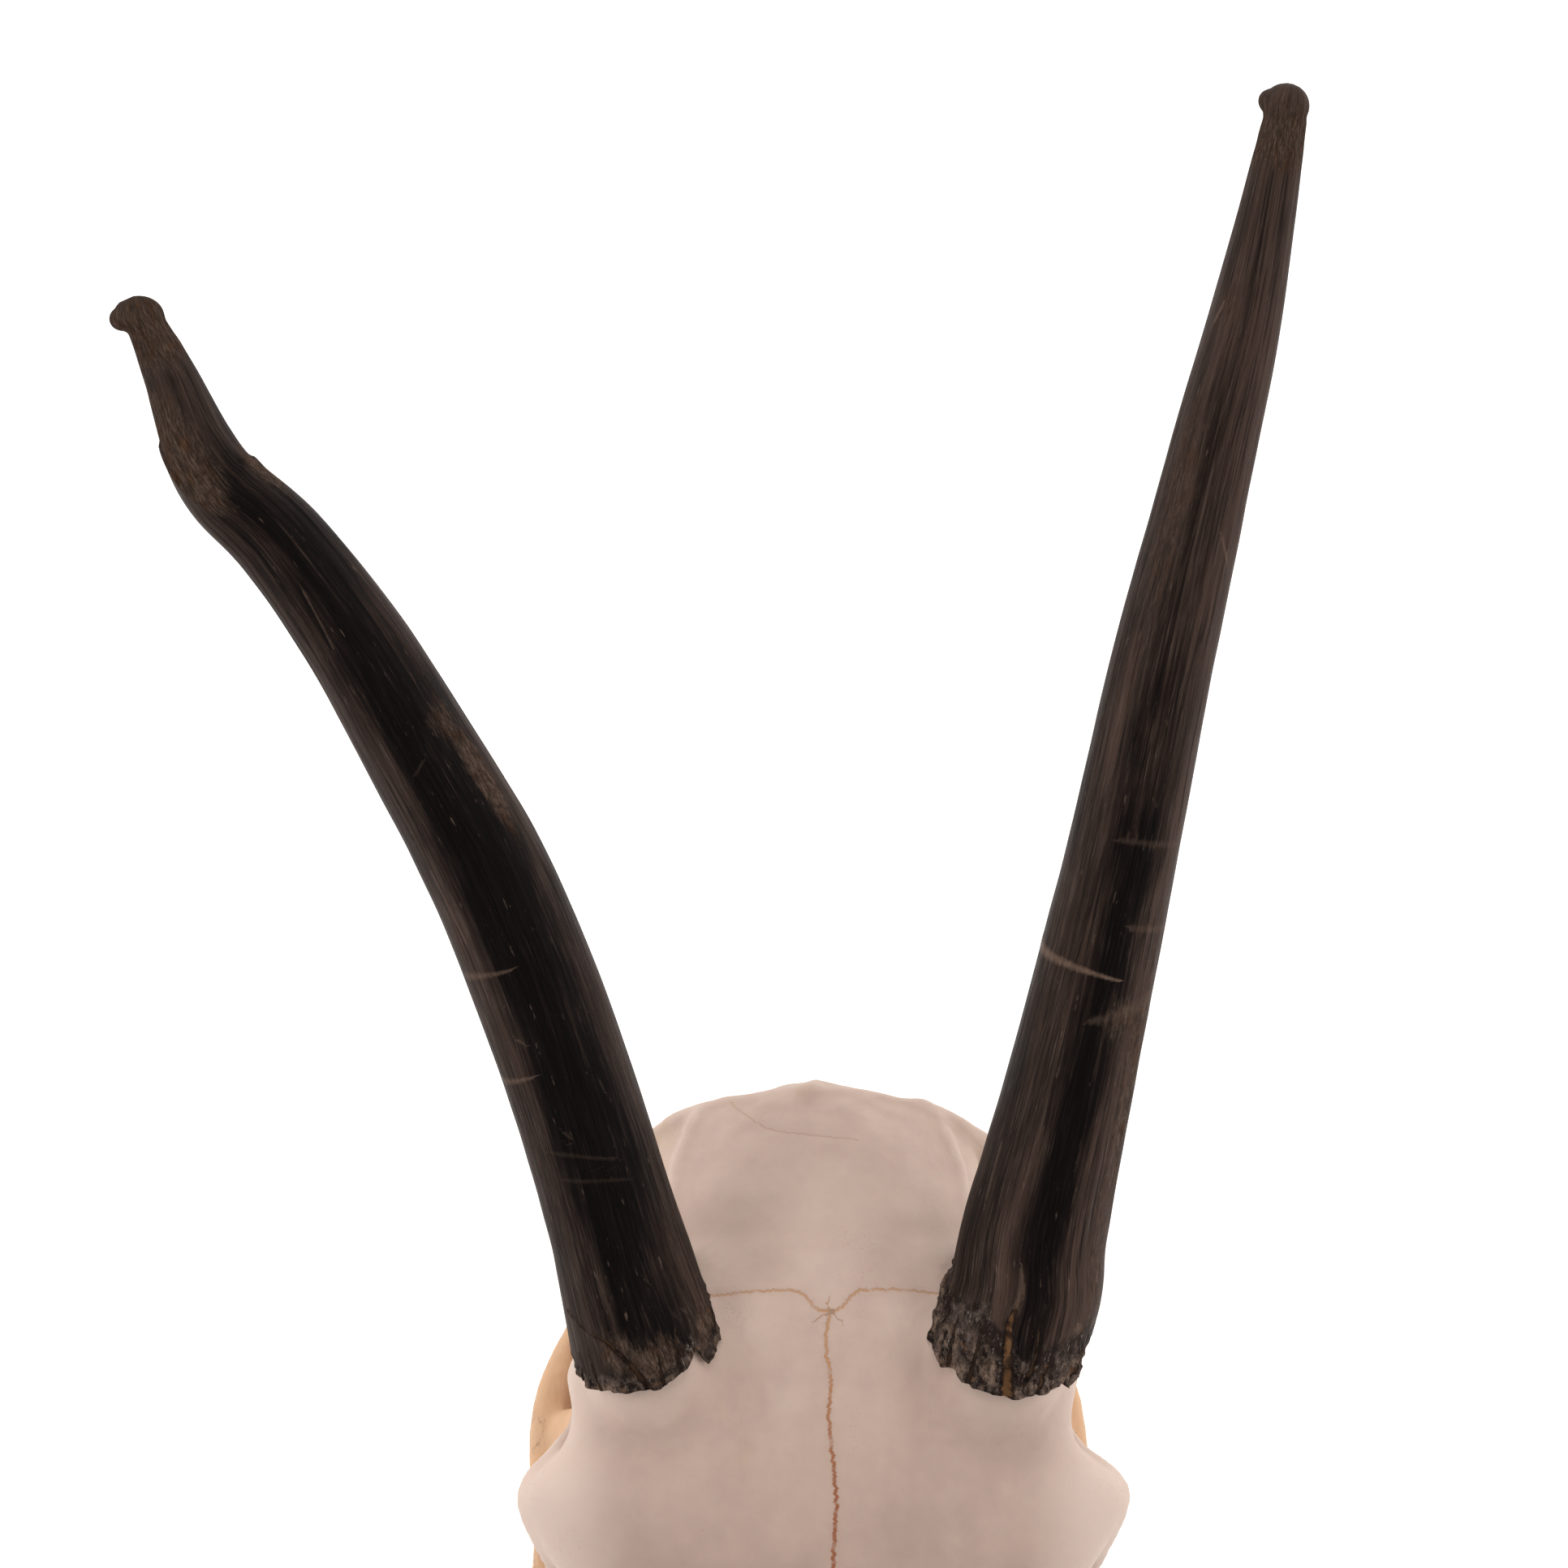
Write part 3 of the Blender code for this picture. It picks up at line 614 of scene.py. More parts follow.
def suture_lines(tree):
    """Every seam laid on the bone as close points, with what the seam is like there."""
    found = []
    for number, (twice, first_tone, last_tone, teeth, depth, guide) in enumerate(SUTURES):
        for side in (-1, 1) if twice else (1,):
            guide_here = [(side * x, y, z) for x, y, z in guide]
            path = [Vector(point) for point in smooth_steps(guide_here, SUTURE_STEPS)]
            along = 0.0
            for i, point in enumerate(path[:-1]):
                step = path[i + 1] - point
                pieces = max(1, round(step.length / SEAM_STEP))
                tone = first_tone + (last_tone - first_tone) * i / len(path)
                for k in range(pieces):
                    spot, normal, _, _ = tree.find_nearest(point + step * (k / pieces))
                    sideways = normal.cross(step).normalized()
                    # each seam is counted from a number of its own, so no two are toothed alike
                    place = 97 * number + 13 * side + along + step.length * k / pieces
                    found.append((spot, sideways, place, tone, teeth, depth))
                along += step.length
    return found


def measure_seams(points, lines):
    """For each point: which side of the nearest seam and how far, place along it, tone, toothing, depth
    and plain distance."""
    nearest = KDTree(len(lines))
    for i, line in enumerate(lines):
        nearest.insert(line[0], i)
    nearest.balance()
    found = np.zeros((len(points), 6))
    for i, point in enumerate(points):
        spot, index, distance = nearest.find(point)
        _, sideways, place, tone, teeth, depth = lines[index]
        beside = (Vector(point) - spot).dot(sideways)
        if distance > SEAM_REACH:
            beside, teeth, depth = math.copysign(SEAM_REACH, beside), 0, 0
        elif distance**2 - beside**2 > SEAM_OVERRUN**2:
            distance = SEAM_REACH
        found[i] = (beside, place, tone, teeth, depth, min(distance, SEAM_REACH))
    return found


# Heights of the fine relief, in millimetres
FOREHEAD_GROOVE, FOREHEAD_SWELLING = 1.3, 0.7
SEAM_LIP, SEAM_GROOVE = 0.45, 1.25
CREST_KNOBS, NAPE_KNOBS, NAPE_KEEL, NAPE_PIT = 0.9, 0.7, 1.6, 1.5
ROOT_SWELLING, JAW_PITS = 0.5, 0.15
SNOUT_GRAIN, SCAR_GRAIN, HORN_COLLAR = 0.10, 0.35, 0.25


def weather(points, normals, seams):
    """How far each point of the bone rises, in millimetres."""
    x, y, z = points.T
    side = np.abs(x)
    up = ramp(normals[:, 2], 0.2, 0.7)
    lift = 0.35 * lumps(points, 26, 1) + 0.16 * lumps(points, 9, 2) + 0.05 * lumps(points, 3.2, 3)
    # shallow grooves that run forward over the forehead, and the low swelling between them
    groove = bell(side - 23 - 0.06 * (y - 5), 6.5) * ramp(y, -45, -12) * ramp(-y, -44, -26) * up
    lift -= FOREHEAD_GROOVE * groove
    lift += FOREHEAD_SWELLING * bell(side, 14) * bell(y - 12, 26) * up
    # seams: a sunken line between slightly raised lips
    beside, place, _, teeth, depth, distance = seams.T
    wander = beside + teeth * 0.7 * np.sin(place * 1.9 + 2 * np.sin(place * 0.43))
    seam = SEAM_LIP * bell(wander, 2.4) - SEAM_GROOVE * bell(wander, 0.75)
    lift += depth * seam * (1 - ramp(distance, 4, 6))
    # rough crest and scars of the neck muscles, with a keel between two pits
    crest = bell(y - 112, 9) * ramp(z, 84, 98)
    lift += CREST_KNOBS * crest * lumps(points, 5.5, 5)
    nape = ramp(y, 106, 114) * ramp(z, 60, 75) * (1 - crest)
    keel = NAPE_KEEL * bell(side, 2.2) * ramp(z, 74, 80)
    lift += nape * (NAPE_KNOBS * lumps(points, 6, 6) + keel - NAPE_PIT * bell(side - 13, 7))
    # swellings over the tooth roots, and the pitted edge of the jaw
    jaw = bell(z - 28, 6) * ramp(y, -122, -112) * ramp(-y, 12, 22) * ramp(np.abs(normals[:, 0]), 0.3, 0.8)
    swelling = ROOT_SWELLING * lumps(points * (0.3, 1, 0.35), 7.5, 11)
    lift += jaw * (swelling + JAW_PITS * lumps(points, 2.6, 8))
    # dry grain that runs lengthwise over the snout and cheeks, and roughened muscle scars
    snout = ramp(-y, 40, 70) * ramp(-z, -100, -60)
    lift += SNOUT_GRAIN * snout * lumps(points * (1, 0.25, 1), 2.4, 9)
    lift += SCAR_GRAIN * ramp(y, 40, 70) * ramp(-z, -100, -80) * lumps(points, 4.5, 10)
    # spongy collar below each horn
    for (foot_x, foot_y, _, radius), *_ in HORN_AXIS.values():
        ring = np.hypot(x - foot_x, 0.9 * (y - foot_y)) - radius
        lift += bell(ring - 3, 4) * up * (HORN_COLLAR * lumps(points, 2.4, 7) - 0.15)
    return lift


# The right brow narrows sooner behind the eye socket than the left one, and the left cheek arch stands
# out a little further than the right one: by how much, in millimetres
BROW_PINCH, ARCH_SHIFT = 3.6, 2.4


def wear_down(piece):
    """Gives the plain skull its seams, grooves, scars and grain, and makes its two sides unlike."""
    mesh = piece.data
    tree = BVHTree.FromObject(piece, bpy.context.evaluated_depsgraph_get())
    lines = suture_lines(tree)
    points, normals = points_of(mesh), normals_of(mesh)
    lift = weather(points, normals, measure_seams(points, lines))
    points += normals * lift[:, None]
    x, y, z = points.T
    points[:, 0] -= BROW_PINCH * (ramp(x, 58, 78) * bell(y - 15, 9) * ramp(z, 92, 112))
    points[:, 0] -= ARCH_SHIFT * ramp(-x, 52, 64) * bell(y - 32, 24) * ramp(-z, -82, -72)
    mesh.vertices.foreach_set("co", points.astype(np.float32).ravel())
    mesh.update()
    return lines


EVENING_ROUNDS, EVENING_PULL = 45, 0.6


def sunk(mesh):
    """How far each point lies below the surface smoothed over about a centimetre, in millimetres."""
    edges = np.empty(2 * len(mesh.edges), np.int32)
    mesh.edges.foreach_get("vertices", edges)
    first, second = edges.reshape(-1, 2).T
    start, normals = points_of(mesh), normals_of(mesh)
    count = np.bincount(edges, minlength=len(start))[:, None]
    points = start.copy()
    for _ in range(EVENING_ROUNDS):
        total = np.zeros_like(points)
        for axis in range(3):
            total[:, axis] += np.bincount(first, points[second, axis], len(points))
            total[:, axis] += np.bincount(second, points[first, axis], len(points))
        points = (1 - EVENING_PULL) * points + EVENING_PULL * total / count
    return ((points - start) * normals).sum(1)


def thin_out(piece, triangles):
    """Brings the fused skin, all of squares, down to this many triangles."""
    thin = piece.modifiers.new("thin", "DECIMATE")
    thin.ratio = min(1, triangles / (2 * len(piece.data.polygons)))
    return settled(piece)


def store(mesh, name, values):
    """Keeps values of each point on the mesh for its material."""
    values = np.asarray(values, np.float32)
    kind = "FLOAT" if values.ndim == 1 else "FLOAT_VECTOR"
    kept = mesh.attributes.new(name, kind, "POINT")
    kept.data.foreach_set("value" if values.ndim == 1 else "vector", values.ravel())


def set_in_place(piece):
    """Moves the drawn piece from its millimetres into the room and smooths its shading."""
    piece.data.transform(Matrix.Scale(MM, 4) @ Matrix.Translation((MIDLINE_X, ORBIT_LINE_Y, 0)))
    piece.data.shade_smooth()
    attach(piece, "root")


seam_lines = wear_down(skull)
thin_out(skull, SKULL_TRIANGLES)
skull_seams = measure_seams(points_of(skull.data), seam_lines)
store(skull.data, "seam", skull_seams[:, :3])
store(skull.data, "teeth", skull_seams[:, 3])
store(skull.data, "away", skull_seams[:, 5])
store(skull.data, "sunk", sunk(skull.data))
skull_faces = [face.vertices for face in skull.data.polygons]
skull_tree = BVHTree.FromPolygons([point.co for point in skull.data.vertices], skull_faces)


def node(tree, kind, inputs=None, **settings):
    """A shader node with its settings, fed by values or by other nodes' sockets."""
    made = tree.nodes.new(kind)
    for key, value in settings.items():
        setattr(made, key, value)
    for key, value in (inputs or {}).items():
        if isinstance(value, bpy.types.NodeSocket):
            tree.links.new(value, made.inputs[key])
        else:
            made.inputs[key].default_value = value
    return made


def maths(operation, *values):
    """A sum that the shader does on sockets and numbers."""
    tree = next(value.id_data for value in values if isinstance(value, bpy.types.NodeSocket))
    return node(tree, "ShaderNodeMath", dict(enumerate(values)), operation=operation).outputs[0]


def times(value, *factors):
    for factor in factors:
        value = maths("MULTIPLY", value, factor)
    return value


def times_plus(value, factor, base):
    return maths("MULTIPLY_ADD", value, factor, base)


def apart(first, second):
    return maths("ABSOLUTE", maths("SUBTRACT", first, second))


def fade(value, low, high, start=0.0, end=1.0):
    """Maps value from low..high to start..end, softly."""
    inputs = {"Value": value, "From Min": low, "From Max": high, "To Min": start, "To Max": end}
    return node(value.id_data, "ShaderNodeMapRange", inputs, interpolation_type="SMOOTHSTEP").outputs[0]


def blend_colours(share, first, second, way="MIX"):
    ends = [tint if isinstance(tint, bpy.types.NodeSocket) else (*tint, 1) for tint in (first, second)]
    inputs = {0: share, 6: ends[0], 7: ends[1]}
    return node(share.id_data, "ShaderNodeMix", inputs, data_type="RGBA", blend_type=way).outputs[2]


def grain(where, scale, detail=3.0, roughness=0.55, stretch=None):
    """Noise in features per millimetre, drawn out along an axis whose stretch is small."""
    tree = where.id_data
    if stretch:
        where = node(tree, "ShaderNodeVectorMath", {0: where, 1: stretch}, operation="MULTIPLY").outputs[0]
    inputs = {"Vector": where, "Scale": scale, "Detail": detail, "Roughness": roughness}
    return node(tree, "ShaderNodeTexNoise", inputs).outputs[0]


def parts_of(vector):
    return node(vector.id_data, "ShaderNodeSeparateXYZ", {0: vector}).outputs


def in_millimetres(tree):
    place = node(tree, "ShaderNodeTexCoord").outputs["Object"]
    scaled = node(tree, "ShaderNodeVectorMath", {0: place, "Scale": 1 / MM}, operation="SCALE")
    return scaled.outputs[0]


def new_material(name):
    made = bpy.data.materials.new(name)
    made.use_nodes = True
    tree = made.node_tree
    return made, tree, tree.nodes["Principled BSDF"]


def stored(tree, name, kind="Fac"):
    return node(tree, "ShaderNodeAttribute", attribute_name=name).outputs[kind]


def dress(shader, colour, roughness, relief, strength, plain):
    """Joins colour, roughness and relief to the shader, and sets the values that are plain all over."""
    tree = shader.id_data
    bump = node(tree, "ShaderNodeBump", {"Strength": strength, "Distance": MM, "Height": relief})
    for name, socket in (("Base Color", colour), ("Roughness", roughness), ("Normal", bump.outputs[0])):
        tree.links.new(socket, shader.inputs[name])
    for name, value in plain.items():
        shader.inputs[name].default_value = value


BONE_CREAM = (0.558, 0.412, 0.336)
BONE_PINK = (0.470, 0.338, 0.284)
BONE_STAIN = (0.52, 0.37, 0.24)
BONE_LOW = (0.535, 0.395, 0.285)
BONE_PAINTED_WARM_SHADE = (0.68, 0.415, 0.24)
BONE_BROW_PAINTED_LIGHT = (0.74, 0.59, 0.50)
BONE_SOIL_AND_SHADE = (0.255, 0.155, 0.095)
BONE_RUBBED = (0.64, 0.50, 0.42)
MUZZLE_PAINTED_SHADE = (0.70, 0.675, 0.68)
PORE_BROWN = (0.30, 0.17, 0.11)
CRACK_BROWN = (0.22, 0.125, 0.075)
SEAM_TAN = (0.46, 0.24, 0.115)
SEAM_RED = (0.26, 0.075, 0.03)
# Small stains on the forehead: place in the skull's millimetres, radius, colour
SPECKS = (
    ((-2.4, 64.5, 146), 0.55, (0.12, 0.07, 0.05)),
    ((-60.5, -14, 128), 0.6, (0.10, 0.05, 0.03)),
    ((-60.5, -9, 129), 1.3, (0.55, 0.33, 0.10)),
    ((26, 0, 139), 0.9, (0.45, 0.17, 0.12)),
    ((33, 29, 146), 0.7, (0.30, 0.15, 0.10)),
)


def bone_material():
    made, tree, shader = new_material("dry_bone")
    place = in_millimetres(tree)
    across, back, height = parts_of(place)
    broad = fade(grain(place, 0.022, 4.0, 0.6), 0.36, 0.64)
    cloud = fade(grain(place, 0.11, 5.0, 0.65), 0.35, 0.7)
    mottle = times_plus(cloud, 0.25, fade(broad, 0.0, 1.0, 0.2, 0.75))
    colour = blend_colours(mottle, BONE_PINK, BONE_CREAM)
    # the lower bones are a little yellower
    low = fade(times_plus(grain(place, 0.03, 4.0, 0.6), 60.0, height), 145.0, 90.0)
    colour = blend_colours(times(low, 0.75), colour, BONE_LOW)
    # soil and painted shade in the hollows, least on the forehead, and rubbed pale edges
    soil_and_shade = times_plus(grain(place, 0.12, 5.0, 0.7), 0.9, stored(tree, "sunk"))
    soiled_and_shaded = times(fade(soil_and_shade, 0.55, 1.7, 0.0, 0.75), fade(low, 0.0, 0.5, 0.12, 1.0))
    colour = blend_colours(soiled_and_shaded, colour, BONE_SOIL_AND_SHADE)
    colour = blend_colours(fade(soil_and_shade, 0.25, -0.5, 0.0, 0.35), colour, BONE_RUBBED)
    # painted shade: the bone darkens from the braincase toward the muzzle, as the forehead tilts away from
    # the light
    muzzle_shade_mask = fade(back, ORBIT_LINE_Y + 60.0, ORBIT_LINE_Y - 60.0)
    colour = blend_colours(muzzle_shade_mask, colour, MUZZLE_PAINTED_SHADE, "MULTIPLY")
    # painted light: the brows pale toward their edges, where the side lights fall on them
    beside = apart(across, MIDLINE_X)
    brow_light_mask = times(fade(beside, 50.0, 76.0, 0.0, 0.55), fade(height, 100.0, 118.0))
    colour = blend_colours(brow_light_mask, colour, BONE_BROW_PAINTED_LIGHT)
    # painted shade: the bones sheltered by the brows take the orange tinge of warm shade
    near_socket = fade(apart(back, ORBIT_LINE_Y + 18.0), 76.0, 30.0)
    brow_shade_mask = times(fade(beside, 44.0, 66.0), fade(height, 106.0, 84.0), near_socket)
    dapple = fade(grain(place, 0.05, 4.0, 0.6), 0.3, 0.6, 0.75, 1.0)
    colour = blend_colours(times(brow_shade_mask, dapple), colour, BONE_PAINTED_WARM_SHADE)
    # grease stains
    stain = fade(grain(place, 0.035, 5.0, 0.7, (1.0, 0.6, 1.0)), 0.60, 0.74, 0.0, 0.4)
    colour = blend_colours(stain, colour, BONE_STAIN)
    # fine pores
    pores = node(tree, "ShaderNodeTexVoronoi", {"Vector": place, "Scale": 0.9, "Randomness": 1.0})
    spongy = fade(times_plus(low, 0.12, grain(place, 0.06, 2.0)), 0.58, 0.74)
    pore = times(fade(pores.outputs["Distance"], 0.20, 0.10), spongy)
    colour = blend_colours(times(pore, 0.35), colour, PORE_BROWN)
    # hairline drying cracks and vessel grooves, mostly on the lower bones
    vein = apart(grain(place, 0.05, 6.0, 0.62, (1.0, 0.45, 1.0)), 0.5)
    crack = times(fade(vein, 0.0048, 0.0012), fade(grain(place, 0.03, 3.0), 0.50, 0.58))
    crack = times(crack, fade(low, 0.3, 0.8))
    colour = blend_colours(times(crack, 0.5), colour, CRACK_BROWN)
    # seams: a toothed line, broken here and there, in a faint halo
    beside_seam, along_seam, tone = parts_of(stored(tree, "seam", "Vector"))
    close = fade(stored(tree, "away"), 4.2, 3.0)
    run = node(tree, "ShaderNodeCombineXYZ", {"X": along_seam}).outputs[0]
    wobble = maths("SUBTRACT", grain(run, 0.45, 4.0, 0.7), 0.5)
    fine = maths("SUBTRACT", grain(run, 1.9, 2.0, 0.6), 0.5)
    shift = times(times_plus(fine, 1.1, times(wobble, 4.2)), stored(tree, "teeth"))
    gap = maths("ABSOLUTE", maths("ADD", beside_seam, shift))
    thin = maths("DIVIDE", gap, fade(tone, 0.0, 1.0, 0.38, 0.82))
    inked = times(fade(thin, 1.0, 0.35), close)
    breaks = fade(grain(run, 0.22, 3.0, 0.7), 0.34, 0.52, 0.3, 1.0)
    ink = blend_colours(fade(tone, 0.42, 0.72), SEAM_TAN, SEAM_RED)
    strength = times(breaks, fade(tone, 0.0, 0.5, 0.25, 1.0))
    colour = blend_colours(times(inked, strength), colour, ink)
    halo = times(fade(gap, 3.0, 0.3, 0.0, 0.14), times(close, tone))
    colour = blend_colours(halo, colour, SEAM_TAN)
    for spot, radius, tint in SPECKS:
        centre = (spot[0] + MIDLINE_X, spot[1] + ORBIT_LINE_Y, spot[2])
        away = node(tree, "ShaderNodeVectorMath", {0: place, 1: centre}, operation="DISTANCE")
        ragged = times_plus(grain(place, 1.2, 2.0), 1.1 * radius, away.outputs["Value"])
        colour = blend_colours(fade(ragged, 1.8 * radius, 1.1 * radius, 0.0, 0.8), colour, tint)
    # relief: a fine skin, dry fibres on the lower bones, and sunken cracks, pores and seams
    dry = grain(place, 0.45, 6.0, 0.7, (1.0, 0.3, 1.0))
    skin = times_plus(times(dry, low), 0.55, times(grain(place, 0.9, 5.0, 0.65), 0.20))
    skin = times_plus(crack, -0.25, skin)
    skin = maths("SUBTRACT", skin, times(pore, 0.18))
    skin = maths("SUBTRACT", skin, times(inked, 0.25))
    rough = fade(grain(place, 0.3, 4.0), 0.3, 0.7, 0.56, 0.74)
    plain = {
        "Subsurface Weight": 0.12,
        "Subsurface Radius": (1.0, 0.45, 0.25),
        "Subsurface Scale": 0.003,
        "Specular IOR Level": 0.35,
    }
    dress(shader, colour, rough, skin, 0.6, plain)
    return made


skull.data.materials.clear()
skull.data.materials.append(bone_material())
set_in_place(skull)
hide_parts("skull")

# ---- Horns ----------------------------------------------------------------------------------------
# Two hollow sheaths of dark keratin, slipped over the bony cores and dried onto them. The right one is
# straight, the left one bends outward and kinks near its end. Both end in a rounded knob whose lip hooks
# sideways, and both are ragged and flaking where they meet the bone.

# The knob and its hooked lip: centre and radii
HORN_TIP = {
    "left_horn": (((-178.3, 284, 273), (6.4, 4.8, 5)), ((-182.4, 283.2, 272.5), (3.4, 3, 3.2))),
    "right_horn": (((113.7, 337.6, 287), (6.1, 5.8, 5.8)), ((109.6, 338.9, 287), (3, 3, 3.2))),
}
# The worn rim: turn round the horn from -X over the top, and place along the axis
HORN_RIM = {
    "left_horn": (
        (0.0, 1.5), (0.23, 1.0), (0.38, 0.5), (0.58, -1.0), (0.87, -1.5), (1.15, -2.5), (1.5, -2.6),
        (1.73, -1.5), (1.88, -0.5), (2.02, 1.0), (2.2, 3.0), (2.26, -0.5), (2.34, -2.6), (2.45, -1.2),
        (2.62, 1.0), (3.0, 2.0), (4.0, 3.0), (5.2, 3.0), (6.0, 2.0),
    ),
    "right_horn": (
        (0.0, 3.0), (0.3, 3.2), (0.44, 0.8), (0.7, -1.0), (0.89, -3.0), (1.05, -1.2), (1.2, -3.0),
        (1.41, -3.5), (1.69, -2.6), (1.87, -2.6), (2.08, -0.2), (2.34, 1.4), (2.62, 4.4), (2.78, 3.2),
        (2.95, 1.8), (3.12, 4.4), (3.4, 3.0), (4.2, 3.5), (5.2, 3.0), (5.9, 3.5),
    ),
}
AROUND = 224  # points round a horn
TURNS = 2 * np.pi * np.arange(AROUND) / AROUND
# Distance between the rings of points in the foot, the shaft and the tip, and length of foot and tip
FOOT_STEP, RING_STEP, TIP_STEP = 0.5, 1.2, 0.4
FOOT_LENGTH, TIP_LENGTH = 24.0, 16.0
AXIS_STEPS = 30  # points drawn from one given point of the axis to the next
KNOB_LENGTH, LIP_BLEND = 5.0, 0.9  # the shaft closes within the knob, and the knob's lip has this fillet
SMOOTH_END = (7, 1)  # the relief fades out between these distances from the end
SMALLEST_RADIUS, TIP_INSET = 0.12, 0.03  # the end is closed by a face this small, just inside the knob
# The hollow that fits over the core: its depth, how loosely it fits, how deep its rings follow the rim,
# and the depths of its rings: first those that turn over the edge of the sheath, then the others
CAVITY_DEPTH, CORE_PLAY, RIM_FOLLOW = 19.0, 0.35, 8.0
LIP_RINGS = (0.3, 0.8, 1.6)
HOLLOW_RINGS = (*LIP_RINGS, *np.linspace(3, CAVITY_DEPTH, 8))
# Places tried down the horn until it meets the bone, and how far it has to stand out of the bone
SEARCH = np.arange(30, -6, -0.5)
PROUD_OF_BONE = 0.25
DRUM = 18.0  # marks and fibres are laid out as if the horn had this radius all along
# Seeds of the lumps on each horn's rim, in its marks and in its relief
SEEDS = {"left_horn": (11, 21, 41), "right_horn": (12, 31, 51)}
# How far the fibres swing aside at the foot, and how tall the crust is there
FIBRE_SWING = {"left_horn": 0.12, "right_horn": 0.42}
CRUST_HEIGHT = {"left_horn": 6.0, "right_horn": 19.0}
# Where the outer layer of the left horn ends and the thin tip goes on: turn, place
LEDGE = ((0, 280), (0.58, 267.5), (1.08, 263), (1.8, 266), (2.5, 269), (2.8, 265), (3.6, 268), (5, 274))
# Splits: width and depth, then place along the horn and turn of its points
SPLITS = {
    "left_horn": (
        (0.9, 0.8, ((20, 0.25), (15, 0.72), (12.5, 0.96), (8, 1.15), (3, 1.3), (-4, 1.42))),
        (0.7, 0.9, ((8, 0.36), (-4, 0.42))),
        (0.6, 0.6, ((10, 0.6), (-4, 0.74))),
        (0.7, 0.7, ((11, 1.95), (4, 1.86), (-4, 1.84))),
        (0.5, 0.5, ((6, 1.62), (-4, 1.58))),
        (0.6, 0.6, ((10, 3.6), (-4, 3.7))),
        (0.7, 0.8, ((16, 4.6), (-4, 4.5))),
    ),
    "right_horn": (
        (2.0, 1.3, ((21, 1.44), (17, 1.47), (10, 1.60), (4, 1.74), (-5, 1.86))),
        (0.7, 0.8, ((12, 0.8), (-5, 0.98))),
        (0.9, 0.9, ((9, 2.2), (-5, 2.2))),
        (0.9, 0.9, ((14, 2.74), (-5, 2.86))),
        (0.7, 0.8, ((13, 1.2), (4, 1.27), (-5, 1.3))),
        (0.8, 0.8, ((17, 1.86), (11, 1.98), (4, 2.0))),
        (0.7, 0.8, ((18, 4.2), (-4, 4.3))),
        (0.6, 0.7, ((12, 5.3), (-4, 5.2))),
    ),
}
# Pale scars: strength, widths at both ends, then place and turn of their points
SCARS = {
    "left_horn": (
        (0.4, 1.4, 0.4, ((118.6, 0.3), (118.3, 0.7), (117.8, 1.2))),
        (0.45, 1.2, 0.4, ((87, 0.2), (87.3, 0.6), (87.9, 0.95))),
        (0.1, 0.6, 0.4, ((176, 1.2), (178, 1.4))),
        (0.25, 0.7, 0.5, ((98.4, 0.92), (97.6, 0.97))),
        (0.15, 0.5, 0.4, ((71, 1.18), (69.8, 1.22))),
        (0.15, 0.5, 0.4, ((81, 1.96), (78.5, 1.98))),
        (0.1, 0.5, 0.4, ((26.5, 1.75), (25.6, 1.77))),
        (0.12, 0.4, 0.3, ((15, 2.0), (14, 2.02))),
        (0.1, 0.7, 0.5, ((66, 0.9), (64, 1.3), (60.5, 1.8))),
        (0.08, 0.7, 0.5, ((58, 1.0), (56, 1.5), (54, 1.9))),
        (0.3, 0.5, 0.4, ((215, 1.0), (232, 1.15))),
        (0.35, 0.6, 0.5, ((150, 0.5), (128, 0.62))),
    ),
    "right_horn": (
        (0.68, 1.9, 0.45, (
            (117.2, -0.3), (115.5, 0.2), (114.7, 0.6), (114.4, 1.06), (114, 1.45), (113.2, 1.9),
        )),
        (0.2, 1.0, 3.0, ((101.3, 1.6), (104.5, 2.1), (109, 2.8))),
        (0.2, 0.9, 1.1, ((127.5, 1.95), (127.6, 2.8))),
        (0.16, 0.8, 1.1, ((150, 1.41), (150.5, 2.6))),
        (0.5, 0.8, 0.8, ((286, 0.6), (291, 0.75))),
        (0.4, 0.8, 0.5, ((232, 2.2), (226, 2.5))),
        (0.8, 1.3, 1.0, ((18.6, 2.44), (16.8, 2.5), (17.4, 2.6))),
        (0.35, 0.4, 1.1, ((33, 1.38), (27, 1.43), (20, 1.44))),
        (0.3, 0.6, 0.5, ((62, 0.6), (47, 0.64))),
        (0.3, 0.6, 0.5, ((88, 2.5), (60, 2.52))),
    ),
}
# Worn brown patches: strength, place, turn, half length, half width in turn
PATCHES = {
    "left_horn": (
        (1.0, 262, 2.6, 13, 0.5),
        (0.5, 184, 2.2, 8, 0.5),
        (0.95, 167, 2.25, 22, 0.3),
        (1.1, 308, 1.2, 15, 9.0),
        (1.0, 0, 1.6, 13, 0.6),
        (1.0, 4, 2.6, 12, 0.5),
        (0.8, 8, 1.08, 8, 0.34),
        (0.35, 90, 0.2, 10, 0.3),
    ),
    "right_horn": (
        (0.45, 103, 2.3, 9, 0.7),
        (0.3, 150, 1.9, 5, 0.8),
        (0.3, 128, 2.4, 5, 0.6),
        (0.4, 240, 0.9, 60, 0.6),
        (0.85, 335, 1.4, 13, 9.0),
        (0.4, 292, 1.0, 12, 0.5),
        (0.6, 70, 2.66, 95, 0.5),
    ),
}
# Painted sheen: the dark band up the front, with the flanks beside it painted paler as if they caught the
# side lights: place, turn of its middle, half width, strength
PAINTED_SHEEN_BAND = {
    "left_horn": (
        (0, 1.58, 0.62, 1.0), (60, 1.6, 0.66, 1.0), (150, 1.62, 0.68, 1.0), (210, 1.6, 0.95, 1.0),
        (265, 1.8, 1.2, 0.8), (300, 1.6, 1.6, 0.2),
    ),
    "right_horn": (
        (0, 1.86, 0.24, 0.9), (34, 1.66, 0.28, 1.0), (120, 1.78, 0.44, 0.95), (210, 1.8, 0.8, 0.35),
        (340, 1.8, 1.4, 0.0),
    ),
}


